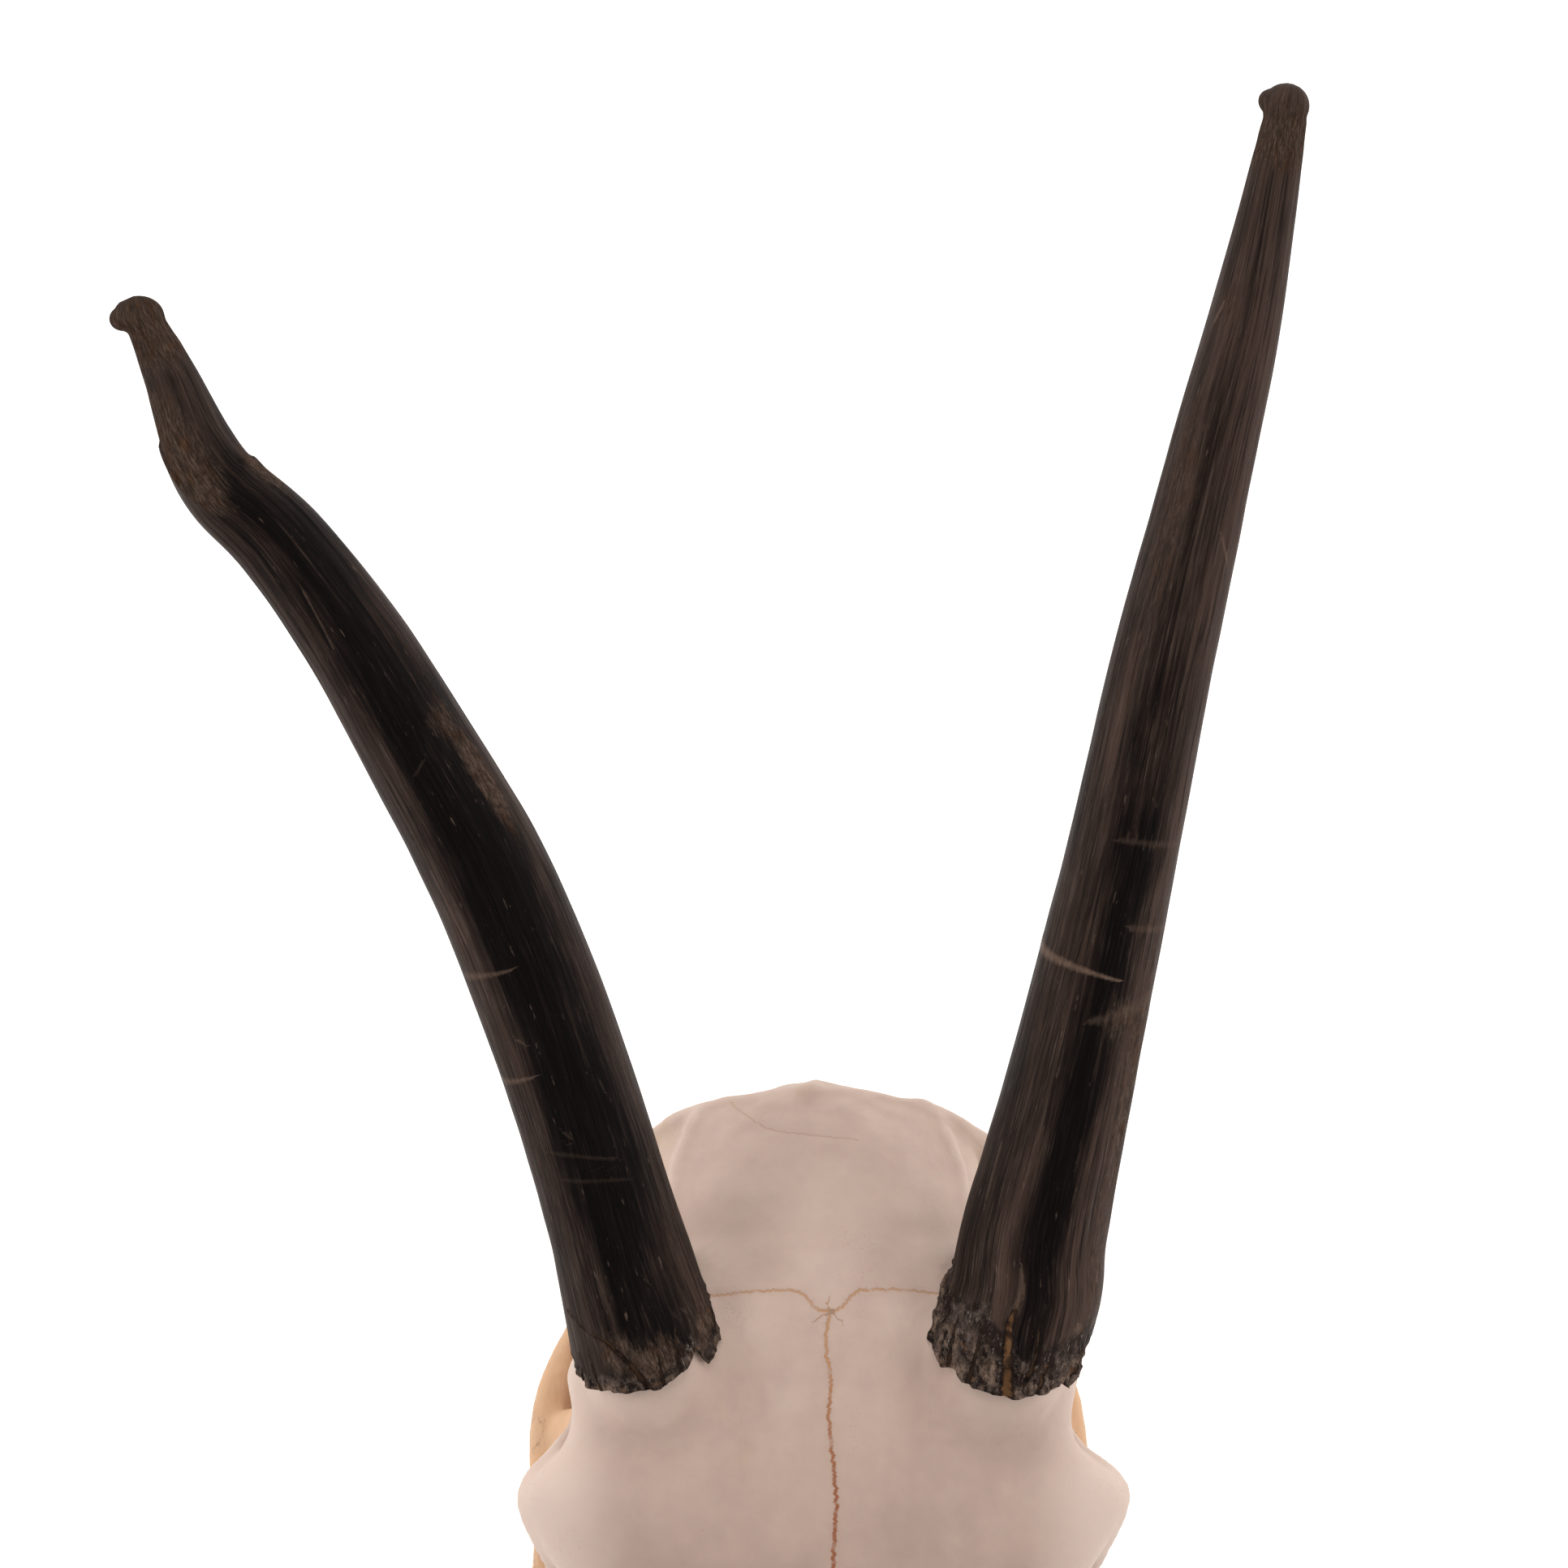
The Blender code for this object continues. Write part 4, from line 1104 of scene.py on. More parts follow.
class HornAxis:
    """The axis of one horn: place, direction, the two directions across it, and radius at each length."""

    def __init__(self, name):
        path = np.array(smooth_steps(HORN_AXIS[name], AXIS_STEPS))
        reach = np.linalg.norm(np.diff(path[:, :3], axis=0), axis=1)
        self.marks = np.concatenate([[0], np.cumsum(reach)])
        self.path = path
        self.length = self.marks[-1]
        slopes = np.gradient(path[:, :3], self.marks, axis=0)
        self.slopes = slopes / np.linalg.norm(slopes, axis=1)[:, None]

    def at(self, along):
        inside = np.clip(along, 0, self.length)
        place = np.stack([np.interp(inside, self.marks, self.path[:, i]) for i in range(3)], 1)
        ahead = np.stack([np.interp(inside, self.marks, self.slopes[:, i]) for i in range(3)], 1)
        ahead /= np.linalg.norm(ahead, axis=1)[:, None]
        place += ahead * (along - inside)[:, None]
        across = np.cross((0, 0, 1), ahead)
        across /= np.linalg.norm(across, axis=1)[:, None]
        return place, across, np.cross(ahead, across), np.interp(inside, self.marks, self.path[:, 3])

    def shell(self, along, turn, radius=None):
        """Points at these places and turns, this far from the axis, and the way out."""
        place, across, up, plain = self.at(along)
        outward = across * np.cos(turn)[:, None] + up * np.sin(turn)[:, None]
        return place + outward * (plain if radius is None else radius)[:, None], outward


FAR_INSIDE = -9.0


def reach_of_ball(place, outward, ball):
    """Where rays from the axis leave an ellipsoid, or far inside where they miss it."""
    centre, radii = (np.array(part, float) for part in ball)
    p, q = (place - centre) / radii, outward / radii
    a, b, c = (q * q).sum(1), 2 * (p * q).sum(1), (p * p).sum(1) - 1
    inner = b * b - 4 * a * c
    return np.where(inner > 0, (-b + np.sqrt(np.maximum(inner, 0))) / (2 * a), FAR_INSIDE)


def larger_softly(a, b, width):
    """The larger of two, with a fillet this wide where they cross."""
    share = np.clip(0.5 + 0.5 * (a - b) / width, 0, 1)
    return b + (a - b) * share + width * share * (1 - share)


def round_the_horn(table, turn):
    turns, values = zip(*table)
    return np.interp(turn % (2 * math.pi), turns, values, period=2 * math.pi)


def aside(turn, middle):
    """How far one turn is from another, the shorter way round."""
    return np.angle(np.exp(1j * (turn - middle)))


def on_drum(along, turn):
    return np.stack([DRUM * np.cos(turn), DRUM * np.sin(turn), along], 1)


def with_fibres(name, along, turn):
    """Turn counted from the fibre through each point."""
    return turn - FIBRE_SWING[name] * (1 - ramp(along, -8, 34))


def past_ledge(along, turn, drum, seed):
    """How far each point lies past the end of the left horn's outer layer."""
    return along - round_the_horn(LEDGE, turn) - 0.8 * lumps(drum, 3, seed + 8)


def rim_places(name, axis):
    """Where the sheath begins at each turn: at its ragged edge, or where it comes out of the bone."""
    seed = SEEDS[name][0]
    ring = on_drum(0 * TURNS, TURNS)
    rim = round_the_horn(HORN_RIM[name], TURNS)
    rim = rim + 0.4 * lumps(ring, 2.6, seed) + 0.3 * lumps(ring, 1.2, seed)
    clear = np.full(AROUND, FAR_INSIDE)
    for i, turn in enumerate(TURNS):
        points, _ = axis.shell(SEARCH, np.full(len(SEARCH), turn))
        for step, point in zip(SEARCH, points):
            spot, normal, _, _ = skull_tree.find_nearest(Vector(point))
            if (Vector(point) - spot).dot(normal) < PROUD_OF_BONE:
                clear[i] = step
                break
    clear = sum(np.roll(clear, k) for k in range(-4, 5)) / 9
    clear = clear + 0.8 + 0.7 * lumps(ring, 4, seed + 1) + 0.4 * lumps(ring, 1.5, seed + 1)
    return np.maximum(rim, clear)


FAR_AWAY = 99.0


def near_line(along, turn, points):
    """Signed distance from a line laid on the drum, and how far along it the nearest place is, 0 to 1."""
    x, y = along, DRUM * turn
    nearest, share = np.full(len(x), FAR_AWAY), np.zeros(len(x))
    for i, (first, second) in enumerate(zip(points, points[1:])):
        ax, bx = first[0], second[0]
        ay, by = DRUM * first[1], DRUM * second[1]
        # the turn wraps round, so measure it from the start of this stretch
        dy = (y - ay + math.pi * DRUM) % (2 * math.pi * DRUM) - math.pi * DRUM
        length = (bx - ax) ** 2 + (by - ay) ** 2
        t = np.clip(((x - ax) * (bx - ax) + dy * (by - ay)) / length, 0, 1)
        away = np.hypot(x - ax - t * (bx - ax), dy - t * (by - ay))
        side = np.where((bx - ax) * dy - (by - ay) * (x - ax) < 0, -1, 1)
        closer = away < np.abs(nearest)
        nearest = np.where(closer, side * away, nearest)
        share = np.where(closer, (i + t) / (len(points) - 1), share)
    return nearest, share


NO_MARK = (9.0, 9.0, 0.0)  # what a point stores where no line is near: number, distance, strength


def nearest_mark(along, turn, lines):
    """For the line that each point is nearest to in its own widths: that signed number, the distance
    in millimetres, and the strength there. Each line is its strength, end widths and points."""
    number, distance, power = (np.full(len(along), value) for value in NO_MARK)
    for strength, first, last, points in lines:
        away, share = near_line(along, turn, points)
        widths = away / (first + (last - first) * share)
        closer = np.abs(widths) < np.abs(number)
        number = np.where(closer, widths, number)
        distance = np.where(closer, np.abs(away), distance)
        power = np.where(closer, strength, power)
    return np.column_stack([number, np.minimum(distance, NO_MARK[1]), power])


def horn_marks(name, along, turn, rim):
    """Crust, wear and painted sheen of each point, its nearest split and scar, and the height these give
    it.
    """
    seed = SEEDS[name][1]
    drum = on_drum(along, turn)
    splits = [(ramp(width, 0.6, 1.6), 0.35 * width, width, line) for width, _, line in SPLITS[name]]
    split = nearest_mark(along, turn, splits)
    scar = nearest_mark(along, turn, SCARS[name])
    rise = 0.12 * scar[:, 2] * (1 - ramp(np.abs(scar[:, 0]), 0.4, 1.3)) * (scar[:, 1] < 3)
    jitter = 0.35 * lumps(drum, 1.6, seed + 9) + 0.4 * lumps(drum, 4, seed + 9)
    for width, depth, points in SPLITS[name]:
        away, share = near_line(along, turn, points)
        wide = width * (0.35 + 0.65 * ramp(share, 0, 0.6))
        away = np.abs(np.abs(away) + 0.8 * jitter * (share > 0))
        here = 1 - ramp(away, 0.25 * wide, wide)
        rise += 0.25 * depth * bell(away - 1.5 * wide, 0.7 * wide) - depth * here * (0.35 + 0.65 * share)
    worn = np.zeros(len(along))
    for strength, place, middle, length, half in PATCHES[name]:
        off = np.hypot(aside(turn, middle) / half, (along - place) / length)
        worn = np.maximum(worn, strength * (1 - ramp(off, 0.0, 1.25)))
    tall = CRUST_HEIGHT[name] * (1 + 0.5 * lumps(drum, 7, seed + 4))
    # painted sheen: a dark band up the front, with paler flanks as if they caught the side lights
    places, middles, halves, powers = zip(*PAINTED_SHEEN_BAND[name])
    off = aside(turn, np.interp(along, places, middles)) + 0.06 * lumps(drum * (1, 1, 0.04), 4, seed + 7)
    half = np.interp(along, places, halves) * (1 + 0.25 * lumps(drum * (0, 0, 1), 30, seed + 3))
    sheen_band_mask = (1 - ramp(np.abs(off), 0.4 * half, 1.5 * half)) * np.interp(along, places, powers)
    if name == "left_horn":
        past = past_ledge(along, turn, drum, seed)
        frayed = ramp(past, -9, 5) * (1 - ramp(past, 8, 40)) * bell(aside(turn, 0.75), 0.75)
        worn = np.maximum(worn, 1.2 * frayed)
    else:
        # the crust climbs highest at the front, and the flank away from the other horn is painted palest,
        # as if it caught the side light
        tall = tall + 12 * bell(aside(turn, 1.1), 0.5)
        sheen_band_mask += 0.25 * bell(aside(turn, 0.45), 0.5) * bell(along - 80, 90)
        sheen_band_mask -= 0.65 * bell(aside(turn, 2.75), 0.55)
    crust = 1 - ramp(along - rim, 0.2 * tall, tall)
    return np.column_stack([crust, worn, sheen_band_mask]), split, scar, rise


def horn_relief(name, along, turn, crust, worn):
    """Height of the horn's surface above its plain form."""
    seed = SEEDS[name][2]
    drum = on_drum(along, with_fibres(name, along, turn))
    rise = 0.30 * lumps(drum * (1, 1, 0.35), 16, seed) + 0.14 * lumps(drum * (1, 1, 0.5), 6, seed)
    # fibres, the low rings of growth, and the frayed patches
    fibre = lumps(drum * (1, 1, 0.035), 1.9, seed) + 0.7 * lumps(drum * (1, 1, 0.05), 1.1, seed + 1)
    rise += 0.10 * fibre * (1 - 0.6 * crust)
    rings = np.sin(along / 3.1 + 0.8 * lumps(drum, 22, seed + 2))
    rise += 0.08 * rings * bell(along - 62, 42) * ramp(lumps(drum * (1, 1, 0.3), 14, seed + 3), -0.4, 0.5)
    rise += 0.16 * worn * lumps(drum * (1, 1, 0.4), 1.5, seed + 4)
    # the crust: overlapping plates with crumbs on them
    flakes = lumps(drum * (1, 1, 0.7), 3.6, seed + 5) + 0.6 * lumps(drum, 1.8, seed + 6)
    plates = ramp(flakes, -0.2, 0.0) + 0.8 * ramp(flakes, 0.4, 0.55) - 0.7 * ramp(-flakes, 0.5, 0.7)
    crumbs = 0.45 * crust**3 * lumps(drum, 2.3, seed + 8)
    rise += crust * (0.5 * plates - 0.2 + 0.3 * lumps(drum, 1.2, seed + 7)) + crumbs
    if name == "left_horn":
        past = past_ledge(along, turn, drum, seed)
        rise += 0.35 * bell(past + 1.6, 3.0) * (past < 0) - 0.35 * ramp(past, -0.6, 0.6) * bell(past, 9)
    return rise


def all_round(levels):
    """Every level with every turn, ring by ring."""
    return (grid.ravel() for grid in np.meshgrid(levels, TURNS, indexing="ij"))


def draw_hollow(name, axis, rim, edge):
    """The inside of the sheath from its edge inward, with the place and turn of each point."""
    deep, turn = all_round(HOLLOW_RINGS)
    inside = np.tile(rim, len(HOLLOW_RINGS)) * np.clip(1 - deep / RIM_FOLLOW, 0, 1) + deep
    core = HORN_AXIS[name][0][3] - HORN_WALL
    taper = np.interp(inside / PEDICEL_STUB, *zip(*PEDICEL_SHAPE[2:]))
    round_end = np.sqrt(np.clip((CAVITY_DEPTH + 0.3 - inside) / 2.5, 0.02, 1))
    inner, _ = axis.shell(inside, turn, (core * taper + CORE_PLAY) * round_end)
    lip = np.clip(deep / LIP_RINGS[-1], 0, 1)[:, None]
    return np.tile(edge, (len(HOLLOW_RINGS), 1)) * (1 - lip) + inner * lip, inside, turn


def draw_horn(name):
    """One sheath, drawn as rings of points: up the inside to the rim, then up the outside to the tip."""
    axis = HornAxis(name)
    rim = rim_places(name, axis)
    neck, across, up, _ = axis.at(np.array([axis.length]))
    ahead = np.cross(across, up)
    end = axis.length + float(reach_of_ball(neck, ahead, HORN_TIP[name][0])[0]) - TIP_INSET
    foot = np.arange(0, FOOT_LENGTH, FOOT_STEP)
    shaft = np.arange(FOOT_LENGTH, end - TIP_LENGTH, RING_STEP)
    tip = np.linspace(end - TIP_LENGTH, end, round(TIP_LENGTH / TIP_STEP))
    levels = np.concatenate([foot, shaft, tip])
    along, turn = all_round(levels)
    edge = np.tile(rim, len(levels))
    along = along + edge * np.clip(1 - along / FOOT_LENGTH, 0, 1)
    place, _, _, radius = axis.at(along)
    _, outward = axis.shell(along, turn)
    past = np.clip((along - axis.length) / KNOB_LENGTH, 0, 1)
    radius = radius * np.sqrt(1 - past**2) + FAR_INSIDE * (past >= 1)
    for ball in HORN_TIP[name]:
        radius = larger_softly(radius, reach_of_ball(place, outward, ball), LIP_BLEND)
    crust_wear_sheen, split, scar, rise = horn_marks(name, along, turn, edge)
    relief = horn_relief(name, along, turn, crust_wear_sheen[:, 0], crust_wear_sheen[:, 1])
    rise += relief * (1 - ramp(along, end - SMOOTH_END[0], end - SMOOTH_END[1]))
    outer, _ = axis.shell(along, turn, np.maximum(radius + rise, SMALLEST_RADIUS))
    inner, inside, turn_in = draw_hollow(name, axis, rim, outer[:AROUND])
    inner_rows = inner.reshape(-1, AROUND, 3)[::-1]
    made = build_tube(name + "_sheath", np.concatenate([inner_rows, outer.reshape(-1, AROUND, 3)]))
    inside_drum = on_drum(inside, turn_in).reshape(-1, AROUND, 3)[::-1].reshape(-1, 3)
    outside_drum = on_drum(along, with_fibres(name, along, turn))
    store(made.data, "drum", np.concatenate([inside_drum, outside_drum]))
    bare = {"crust_wear_sheen": (crust_wear_sheen, (0.0, 0.0, 0.0)), "split": (split, NO_MARK), "scar": (scar, NO_MARK)}
    for label, (values, nothing) in bare.items():
        store(made.data, label, np.concatenate([np.full((len(inner), 3), nothing), values]))
    return made


def build_tube(name, rows):
    """A closed skin over rows of points, each row one turn."""
    count, around, _ = rows.shape
    corner = np.arange(count * around).reshape(count, around)
    side = np.roll(corner, -1, axis=1)
    quads = np.stack([corner[:-1], side[:-1], side[1:], corner[1:]], 2).reshape(-1, 4)
    faces = [*quads.tolist(), corner[0][::-1].tolist(), corner[-1].tolist()]
    mesh = bpy.data.meshes.new(name)
    mesh.from_pydata(rows.reshape(-1, 3), [], faces)
    return add_object(name, mesh)


KERATIN_DARK = (0.0030, 0.0019, 0.0018)
KERATIN_SHEEN_BROWN = (0.063, 0.0375, 0.0285)
KERATIN_LINE = (0.120, 0.086, 0.070)
KERATIN_WORN = (0.165, 0.110, 0.082)
KERATIN_WARM = (0.150, 0.076, 0.040)
KERATIN_SCAR = (0.165, 0.106, 0.077)
CRUST_GREY = (0.092, 0.064, 0.052)
CRUST_RIM = (0.225, 0.152, 0.112)
CRUST_PALE = (0.400, 0.330, 0.285)
SPLIT_ORANGE = (0.150, 0.073, 0.033)
SPLIT_BROWN = (0.040, 0.023, 0.015)
SPLIT_BLACK = (0.009, 0.0055, 0.0045)
FURROW_BLACK = (0.007, 0.0045, 0.004)
FRAY_SHADOW = (0.028, 0.0165, 0.012)
CRUST_BLACK = (0.0075, 0.0047, 0.0042)
# How much shorter noise is along the horn than round it, so that it reads as fibres
BANDS, STREAKS, HAIRS = (1.0, 1.0, 0.06), (1.0, 1.0, 0.035), (1.0, 1.0, 0.022)


def horn_material():
    made, tree, shader = new_material("horn_keratin")
    drum = stored(tree, "drum", "Vector")
    crust, worn, sheen_band_mask = parts_of(stored(tree, "crust_wear_sheen", "Vector"))
    length = parts_of(drum)[2]
    # fibres: broad bands, streaks and hair-fine lines, all drawn out along the horn
    band = grain(drum, 0.16, 3.0, 0.6, BANDS)
    streak = grain(drum, 0.7, 4.0, 0.65, STREAKS)
    hair = grain(drum, 2.3, 4.0, 0.75, HAIRS)
    cloud = grain(drum, 0.05, 4.0, 0.65, (1.0, 1.0, 0.4))
    lighter_grain_and_sheen = times_plus(cloud, 0.65, times_plus(streak, 0.7, times(band, 0.55)))
    lighter_grain_and_sheen = maths("ADD", lighter_grain_and_sheen, fade(length, 120.0, 300.0, 0.0, 0.10))
    # painted sheen: darker along the front band, paler on the flanks, as if the flanks caught the side
    # lights
    lighter_grain_and_sheen = times_plus(sheen_band_mask, -0.40, lighter_grain_and_sheen)
    colour = blend_colours(fade(lighter_grain_and_sheen, 0.60, 1.25), KERATIN_DARK, KERATIN_SHEEN_BROWN)
    lines = times(fade(hair, 0.52, 0.68), fade(lighter_grain_and_sheen, 0.55, 1.0, 0.1, 0.85), 0.65)
    colour = blend_colours(lines, colour, KERATIN_LINE)
    furrow = fade(grain(drum, 1.2, 4.0, 0.7, (1.0, 1.0, 0.03)), 0.50, 0.38, 0.0, 0.75)
    colour = blend_colours(furrow, colour, FURROW_BLACK)
    fleck = fade(grain(drum, 0.95, 3.0, 0.6, (1.0, 1.0, 0.16)), 0.66, 0.74, 0.0, 0.4)
    colour = blend_colours(fleck, colour, KERATIN_WORN)
    # the plain surface has been rubbed down to brown, frayed fibres in places
    fray = grain(drum, 0.9, 5.0, 0.75, (1, 1, 0.2))
    torn = times_plus(fray, 1.3, times_plus(cloud, 0.7, worn))
    torn = fade(torn, 1.14, 1.75, 0.0, 0.95)
    threads = fade(grain(drum, 1.0, 6.0, 0.85, (1, 1, 0.3)), 0.40, 0.66)
    warm = fade(grain(drum, 0.16, 4.0, 0.6), 0.50, 0.64)
    bared = blend_colours(warm, KERATIN_WORN, KERATIN_WARM)
    colour = blend_colours(torn, colour, blend_colours(threads, FRAY_SHADOW, bared))
    # pale scars with chipped edges
    chip = maths("SUBTRACT", grain(drum, 1.1, 5.0, 0.75), 0.5)
    widths, distance, power = parts_of(stored(tree, "scar", "Vector"))
    edge = times_plus(chip, 2.2, maths("ABSOLUTE", widths))
    pale = times(fade(edge, 1.5, 0.1), fade(distance, 3.2, 1.8))
    pale = times(pale, times(power, fade(fray, 0.3, 0.6, 0.5, 1.0)))
    colour = blend_colours(pale, colour, KERATIN_SCAR)
    # dark plates, grey-brown dust and pale crumbs at the foot
    flake = grain(drum, 0.42, 6.0, 0.78, (1, 1, 0.6))
    plate = fade(grain(drum, 0.11, 5.0, 0.62, (1, 1, 0.6)), 0.46, 0.54)
    near_rim = fade(crust, 0.75, 1.0)
    colour = blend_colours(times(fade(crust, 0.05, 0.4), 0.8), colour, CRUST_BLACK)
    dust = times(fade(flake, 0.38, 0.62), fade(crust, 0.05, 0.45))
    dusty = times(dust, fade(maths("SUBTRACT", plate, near_rim), 0.0, 1.0, 0.9, 0.08))
    rim_dust = times(near_rim, fade(grain(drum, 0.22, 4.0, 0.7), 0.42, 0.60))
    colour = blend_colours(dusty, colour, blend_colours(rim_dust, CRUST_GREY, CRUST_RIM))
    crumb = times(fade(grain(drum, 1.0, 5.0, 0.8), 0.58, 0.70), fade(crust, 0.2, 0.8))
    scratch = times(fade(grain(drum, 1.5, 4.0, 0.8, (1, 1, 0.2)), 0.58, 0.70), fade(crust, 0.0, 0.3))
    colour = blend_colours(times(maths("MAXIMUM", crumb, scratch), 0.6), colour, CRUST_PALE)
    rust = times(fade(grain(drum, 0.3, 4.0, 0.6), 0.60, 0.70), crust)
    colour = blend_colours(times(rust, 0.55), colour, SPLIT_ORANGE)
    # splits: black inside, with orange-brown keratin along the middle
    widths, distance, power = parts_of(stored(tree, "split", "Vector"))
    edge = times_plus(chip, 1.6, maths("ABSOLUTE", widths))
    near = fade(distance, 3.4, 2.4)
    colour = blend_colours(times(fade(edge, 1.2, 0.8), times(near, 0.85)), colour, SPLIT_BLACK)
    core = times(fade(edge, 0.75, 0.35), fade(grain(drum, 0.3, 3.0), 0.38, 0.56, 0.15, 1.0))
    colour = blend_colours(times(core, near), colour, blend_colours(power, SPLIT_BROWN, SPLIT_ORANGE))
    rough = times_plus(maths("MAXIMUM", crust, torn), 0.3, times_plus(streak, 0.3, 0.34))
    relief = times_plus(hair, 0.16, times(streak, 0.26))
    relief = times_plus(times(flake, crust), 1.3, relief)
    relief = times_plus(times(threads, torn), 0.3, relief)
    relief = times_plus(pale, 0.15, relief)
    dress(shader, colour, maths("MINIMUM", rough, 0.92), relief, 0.8, {"Specular IOR Level": 0.04})
    return made


keratin = horn_material()
for horn_name in HORN_AXIS:
    sheath = draw_horn(horn_name)
    sheath.data.materials.append(keratin)
    set_in_place(sheath)
    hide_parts(horn_name)

# ---- Teeth ----------------------------------------------------------------------------------------
# Six grinding teeth on each side of the upper jaw: tall prisms of ivory-coloured enamel, ribbed outside
# and lobed inside, worn at the end into ridges round crescent pits. They stand deep in the jaw bone.

# Front to back: name, length, breadth, chewing height above the table, number of lobes
TEETH = (
    ("premolar_2", 12.0, 11.5, 7.0, 1),
    ("premolar_3", 14.0, 13.5, 5.5, 1),
    ("premolar_4", 15.0, 15.0, 4.0, 1),
    ("molar_1", 19.5, 16.0, 2.2, 2),
    ("molar_2", 22.0, 17.0, 0.8, 2),
    ("molar_3", 23.0, 16.0, 0.0, 2),
)
# Crown outlines, along the row and outward
CROWNS = {
    1: ((-1.0, 0.36), (-0.45, 0.38), (0.0, 0.48), (0.5, 0.36), (1.0, 0.42),
        (0.96, -0.05), (0.6, -0.4), (0.0, -0.5), (-0.6, -0.38), (-0.96, -0.05)),
    2: ((-1.0, 0.42), (-0.5, 0.33), (0.0, 0.48), (0.5, 0.35), (1.0, 0.43), (0.96, -0.1),
        (0.7, -0.44), (0.35, -0.44), (0.04, -0.22), (-0.35, -0.46), (-0.7, -0.46), (-0.96, -0.1)),
}
TOOTH_ROW_FRONT = (26.0, -120.0)
TOOTH_ROW_SPREAD = math.radians(5.0)
TOOTH_GAP = 0.6
ROOT_Z = 31.0
TOOTH_SIDES = 96
OUTLINE_STEPS, SHAFT_RINGS, FACE_RINGS = 24, 18, 22
PIT_DEPTH, DENTINE_DEPTH, EDGE_DEPTH = 1.7, 0.75, 0.25
CUSP_RISE = 0.35  # the chewing face slopes, higher on the cheek side
ENAMEL_LOW, ENAMEL_HIGH = (0.62, 0.53, 0.40), (0.74, 0.68, 0.57)
DENTINE = (0.46, 0.33, 0.19)
TARTAR = (0.30, 0.18, 0.09)
PIT_BLACK = (0.07, 0.04, 0.022)
TOOTH_STAIN = (0.40, 0.26, 0.13)


def crown_outline(lobes, length, breadth):
    """A smooth closed outline with evenly spaced points, along the row and outward."""
    loop = np.array(smooth_loop(CROWNS[lobes], OUTLINE_STEPS)) * (length / 2, breadth)
    reach = np.concatenate([[0], np.cumsum(np.linalg.norm(np.diff(loop, axis=0), axis=1))])
    marks = np.linspace(0, reach[-1], TOOTH_SIDES, endpoint=False)
    return np.stack([np.interp(marks, reach, loop[:, 0]), np.interp(marks, reach, loop[:, 1])], 1)


def chewing_face(flat, inward, lobes, length, breadth):
    """Depth of the worn face at each point, and how far it is pit and enamel."""
    pit, ridge = np.zeros(len(flat)), 1 - ramp(np.abs(inward - 0.45), 0.25, 0.75)
    for lobe in range(lobes):
        middle = (lobe - (lobes - 1) / 2) * length / lobes
        across, along = 0.29 * length / lobes, 0.27 * breadth
        x, y = (flat[:, 0] - middle) / across, (flat[:, 1] - 0.10 * breadth) / along
        round_pit = np.hypot(x, y)
        away = np.abs(round_pit - 1) * 0.5 * (across + along) + 2.2 * ramp(y, 0.0, 0.5)
        pit = np.maximum(pit, 1 - ramp(away, 0.35, 0.85))
        ridge = np.maximum(ridge, 1 - ramp(np.abs(away - 1.15), 0.2, 0.55))
    dentine = DENTINE_DEPTH * ramp(inward, 0.6, 1.6) * (1 - ridge)
    depth = dentine + PIT_DEPTH * pit + EDGE_DEPTH * (1 - ramp(inward, 0, 0.35))
    return depth, pit, ridge


def draw_tooth(name, lobes, length, breadth, chewing_z, side, seed):
    """One tooth, drawn round its own middle, and the direction of its row."""
    outline = crown_outline(lobes, length, breadth)
    rows, pits, ridges = [], [], []
    for share in np.linspace(0, 1, SHAFT_RINGS):
        z = ROOT_Z + (chewing_z + CUSP_RISE - ROOT_Z) * share
        ring = outline * (0.93 + 0.07 * ramp(share, 0, 0.45) - 0.03 * ramp(share, 0.9, 1.0))
        ripple = 1 + 0.012 * lumps(np.column_stack([ring, np.full(len(ring), 0.6 * z)]), 2.4, seed)
        rows.append(np.column_stack([ring * ripple[:, None], np.full(len(ring), z)]))
        pits.append(np.zeros(len(ring)))
        ridges.append(np.ones(len(ring)))
    for share in np.linspace(1, 0, FACE_RINGS + 1)[1:]:
        size = 0.97 * max(share, 0.01)
        ring = outline * size
        inward = np.full(len(ring), (1 - size) * 0.5 * min(length, breadth))
        depth, pit, ridge = chewing_face(ring, inward, lobes, length, breadth)
        depth += 0.25 * lumps(np.column_stack([ring, 0 * inward]), 4.5, seed + 1) * ramp(inward, 0, 1)
        tilt = CUSP_RISE * ramp(ring[:, 1] / breadth, -0.5, 0.5)
        rows.append(np.column_stack([ring, chewing_z + np.maximum(depth + tilt, 0.02)]))
        pits.append(pit)
        ridges.append(ridge)
    rows = np.array(rows)[:, ::-side]
    row = np.array((side * math.sin(TOOTH_ROW_SPREAD), math.cos(TOOTH_ROW_SPREAD), 0))
    out = np.array((side * math.cos(TOOTH_ROW_SPREAD), -math.sin(TOOTH_ROW_SPREAD), 0))
    made = build_tube(name, rows[..., 0:1] * row + rows[..., 1:2] * out + rows[..., 2:3] * (0, 0, 1))
    store(made.data, "pit", np.array(pits)[:, ::-side].ravel())
    store(made.data, "ridge", np.array(ridges)[:, ::-side].ravel())
    return made, row


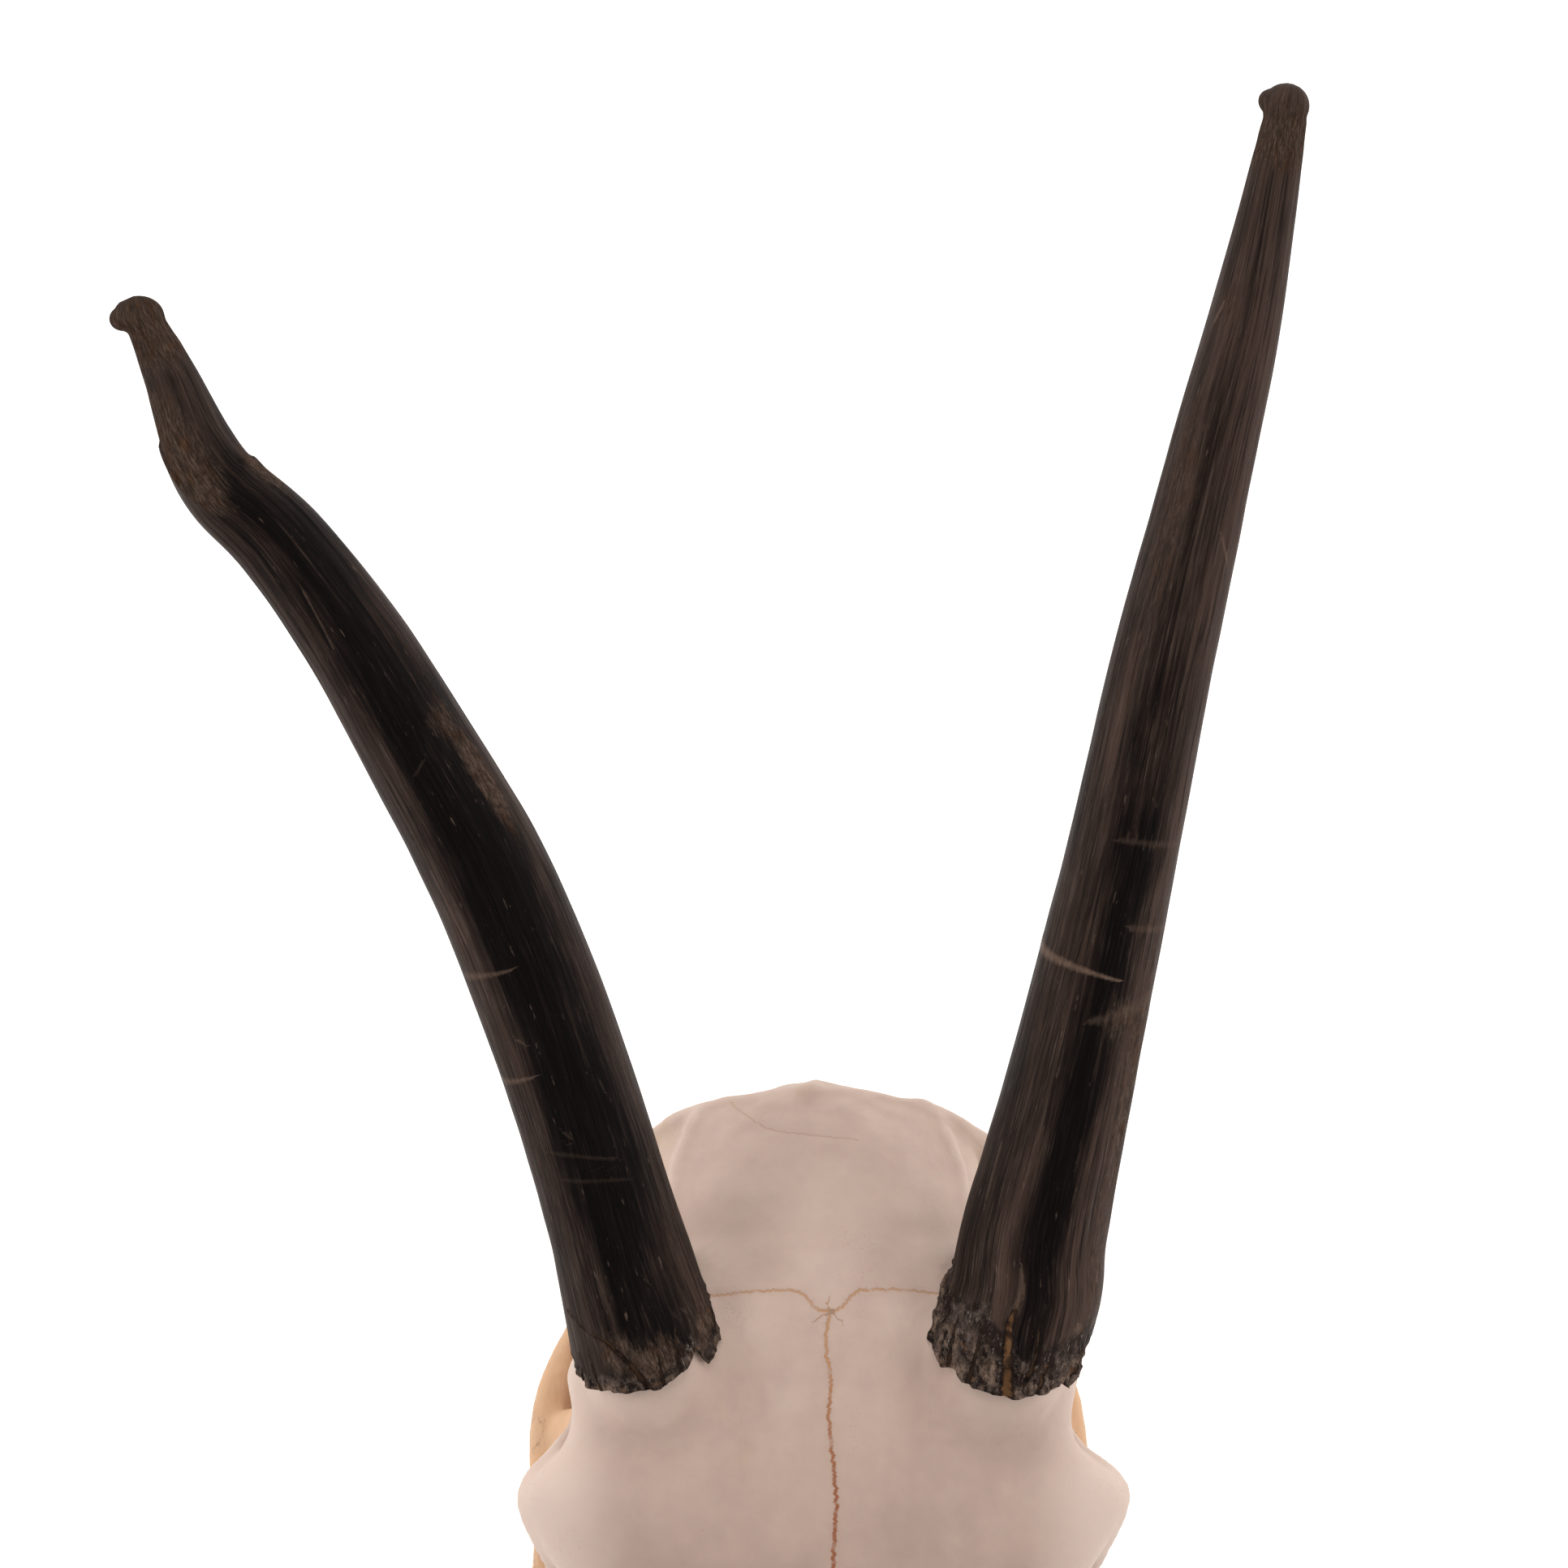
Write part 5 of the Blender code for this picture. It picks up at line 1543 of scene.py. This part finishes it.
def tooth_material():
    made, tree, shader = new_material("tooth_enamel")
    place = in_millimetres(tree)
    height = parts_of(place)[2]
    streak = grain(place, 0.5, 4.0, 0.6, (1.0, 1.0, 0.15))
    enamel = blend_colours(fade(streak, 0.35, 0.68), ENAMEL_LOW, ENAMEL_HIGH)
    colour = blend_colours(stored(tree, "ridge"), DENTINE, enamel)
    # tartar and soil cling near the jaw and in the pits
    cling = fade(times_plus(grain(place, 0.35, 5.0, 0.7), 12.0, height), 20.0, 28.0, 0.0, 0.6)
    colour = blend_colours(cling, colour, TARTAR)
    colour = blend_colours(times(stored(tree, "pit"), 0.9), colour, PIT_BLACK)
    stain = fade(grain(place, 0.25, 5.0, 0.7, (1.0, 1.0, 0.3)), 0.56, 0.72, 0.0, 0.55)
    colour = blend_colours(stain, colour, TOOTH_STAIN)
    fine = times_plus(grain(place, 1.6, 4.0, 0.6, (1, 1, 0.3)), 0.14, times(streak, 0.3))
    plain = {"Subsurface Weight": 0.08, "Subsurface Radius": (1.0, 0.7, 0.45), "Subsurface Scale": 0.002}
    dress(shader, colour, fade(streak, 0.3, 0.7, 0.42, 0.26), fine, 0.6, plain)
    return made


enamel = tooth_material()
for side, side_name in ((-1, "left"), (1, "right")):
    along = 0.0
    for number, (kind, length, breadth, chewing_z, lobes) in enumerate(TEETH):
        seed = 70 + 2 * number + (side > 0)
        crown, row = draw_tooth(f"{side_name}_{kind}_crown", lobes, length, breadth, chewing_z, side, seed)
        middle = np.array((side * TOOTH_ROW_FRONT[0], TOOTH_ROW_FRONT[1], 0)) + row * (along + length / 2)
        crown.data.transform(Matrix.Translation(middle))
        crown.data.materials.append(enamel)
        set_in_place(crown)
        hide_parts(f"{side_name}_{kind}")
        along += length + TOOTH_GAP

# ---- Table, lights and camera ---------------------------------------------------------------------
# A large matt white table, faintly lit from below, under four broad soft lights: strong ones from both
# sides and from behind, a weak one in front. The camera hangs high over the forehead.

TABLE_HALF = 12.0
TABLE_SHADE, TABLE_WHITE = (0.95, 0.945, 0.94), (0.965, 0.96, 0.955)
TABLE_GLOW = 0.33
# Name, direction in which the light is seen from the table, strength, spread in degrees
LIGHTS = (
    ("left_light", (-2.0, 0.1, 1.2), 1.4, 50),
    ("right_light", (2.0, 0.1, 1.2), 1.4, 50),
    ("back_light", (0, 1.2, 1.7), 1.55, 45),
    ("front_light", (0, -1.6, 1.2), 0.5, 50),
)
# The white studio wall glows up to a low height and falls off to a dim ceiling
WALL_TINT = (1.0, 0.985, 0.975, 1)
WALL_GLOW, CEILING_GLOW = 1.04, 0.12
WALL_TOP, CEILING_EDGE = 0.06, 0.36
# The camera hangs 1.1 m above the brow, pitched toward the muzzle and rolled
CAMERA_AT = (-70.3, -103.0, 1259.3)
CAMERA_PITCH, CAMERA_ROLL = math.radians(15.0), math.radians(3.0)
LENS, SENSOR = 95.02, 36

table_form = bmesh.new()
bmesh.ops.create_grid(table_form, x_segments=2, y_segments=2, size=TABLE_HALF)
table_mesh = bpy.data.meshes.new("table_top")
table_form.to_mesh(table_mesh)
table_form.free()
table_top = add_object("table_top", table_mesh)
white, white_tree, white_shader = new_material("table_white")
clouds = fade(grain(in_millimetres(white_tree), 0.004, 3.0), 0.3, 0.7)
paint = blend_colours(clouds, TABLE_SHADE, TABLE_WHITE)
white_tree.links.new(paint, white_shader.inputs["Base Color"])
white_tree.links.new(paint, white_shader.inputs["Emission Color"])
white_shader.inputs["Emission Strength"].default_value = TABLE_GLOW
white_shader.inputs["Roughness"].default_value = 0.9
white_shader.inputs["Specular IOR Level"].default_value = 0.1
table_mesh.materials.append(white)

for name, toward, strength, spread in LIGHTS:
    glow = bpy.data.lights.new(name, "SUN")
    glow.energy = strength
    glow.angle = math.radians(spread)
    lamp = add_object(name, glow)
    lamp.location = toward
    lamp.rotation_euler = Vector(toward).to_track_quat("Z", "Y").to_euler()

studio = bpy.data.worlds.new("studio")
bpy.context.scene.world = studio
studio.use_nodes = True
walls = studio.node_tree
backdrop = walls.nodes["Background"]
backdrop.inputs["Color"].default_value = WALL_TINT
upward = parts_of(node(walls, "ShaderNodeTexCoord").outputs["Generated"])[2]
wall_light = fade(upward, WALL_TOP, CEILING_EDGE, WALL_GLOW, CEILING_GLOW)
walls.links.new(wall_light, backdrop.inputs["Strength"])

camera_data = bpy.data.cameras.new("camera")
camera_data.sensor_width = SENSOR
camera_data.lens = LENS
camera = add_object("camera", camera_data)
turned = Matrix.Rotation(CAMERA_PITCH, 4, "X") @ Matrix.Rotation(-CAMERA_ROLL, 4, "Y")
middle = Vector(CAMERA_AT) + Vector((MIDLINE_X, ORBIT_LINE_Y, 0))
camera.matrix_world = Matrix.Translation(middle * MM) @ turned
bpy.context.scene.camera = camera
bpy.context.scene.view_settings.view_transform = "Standard"
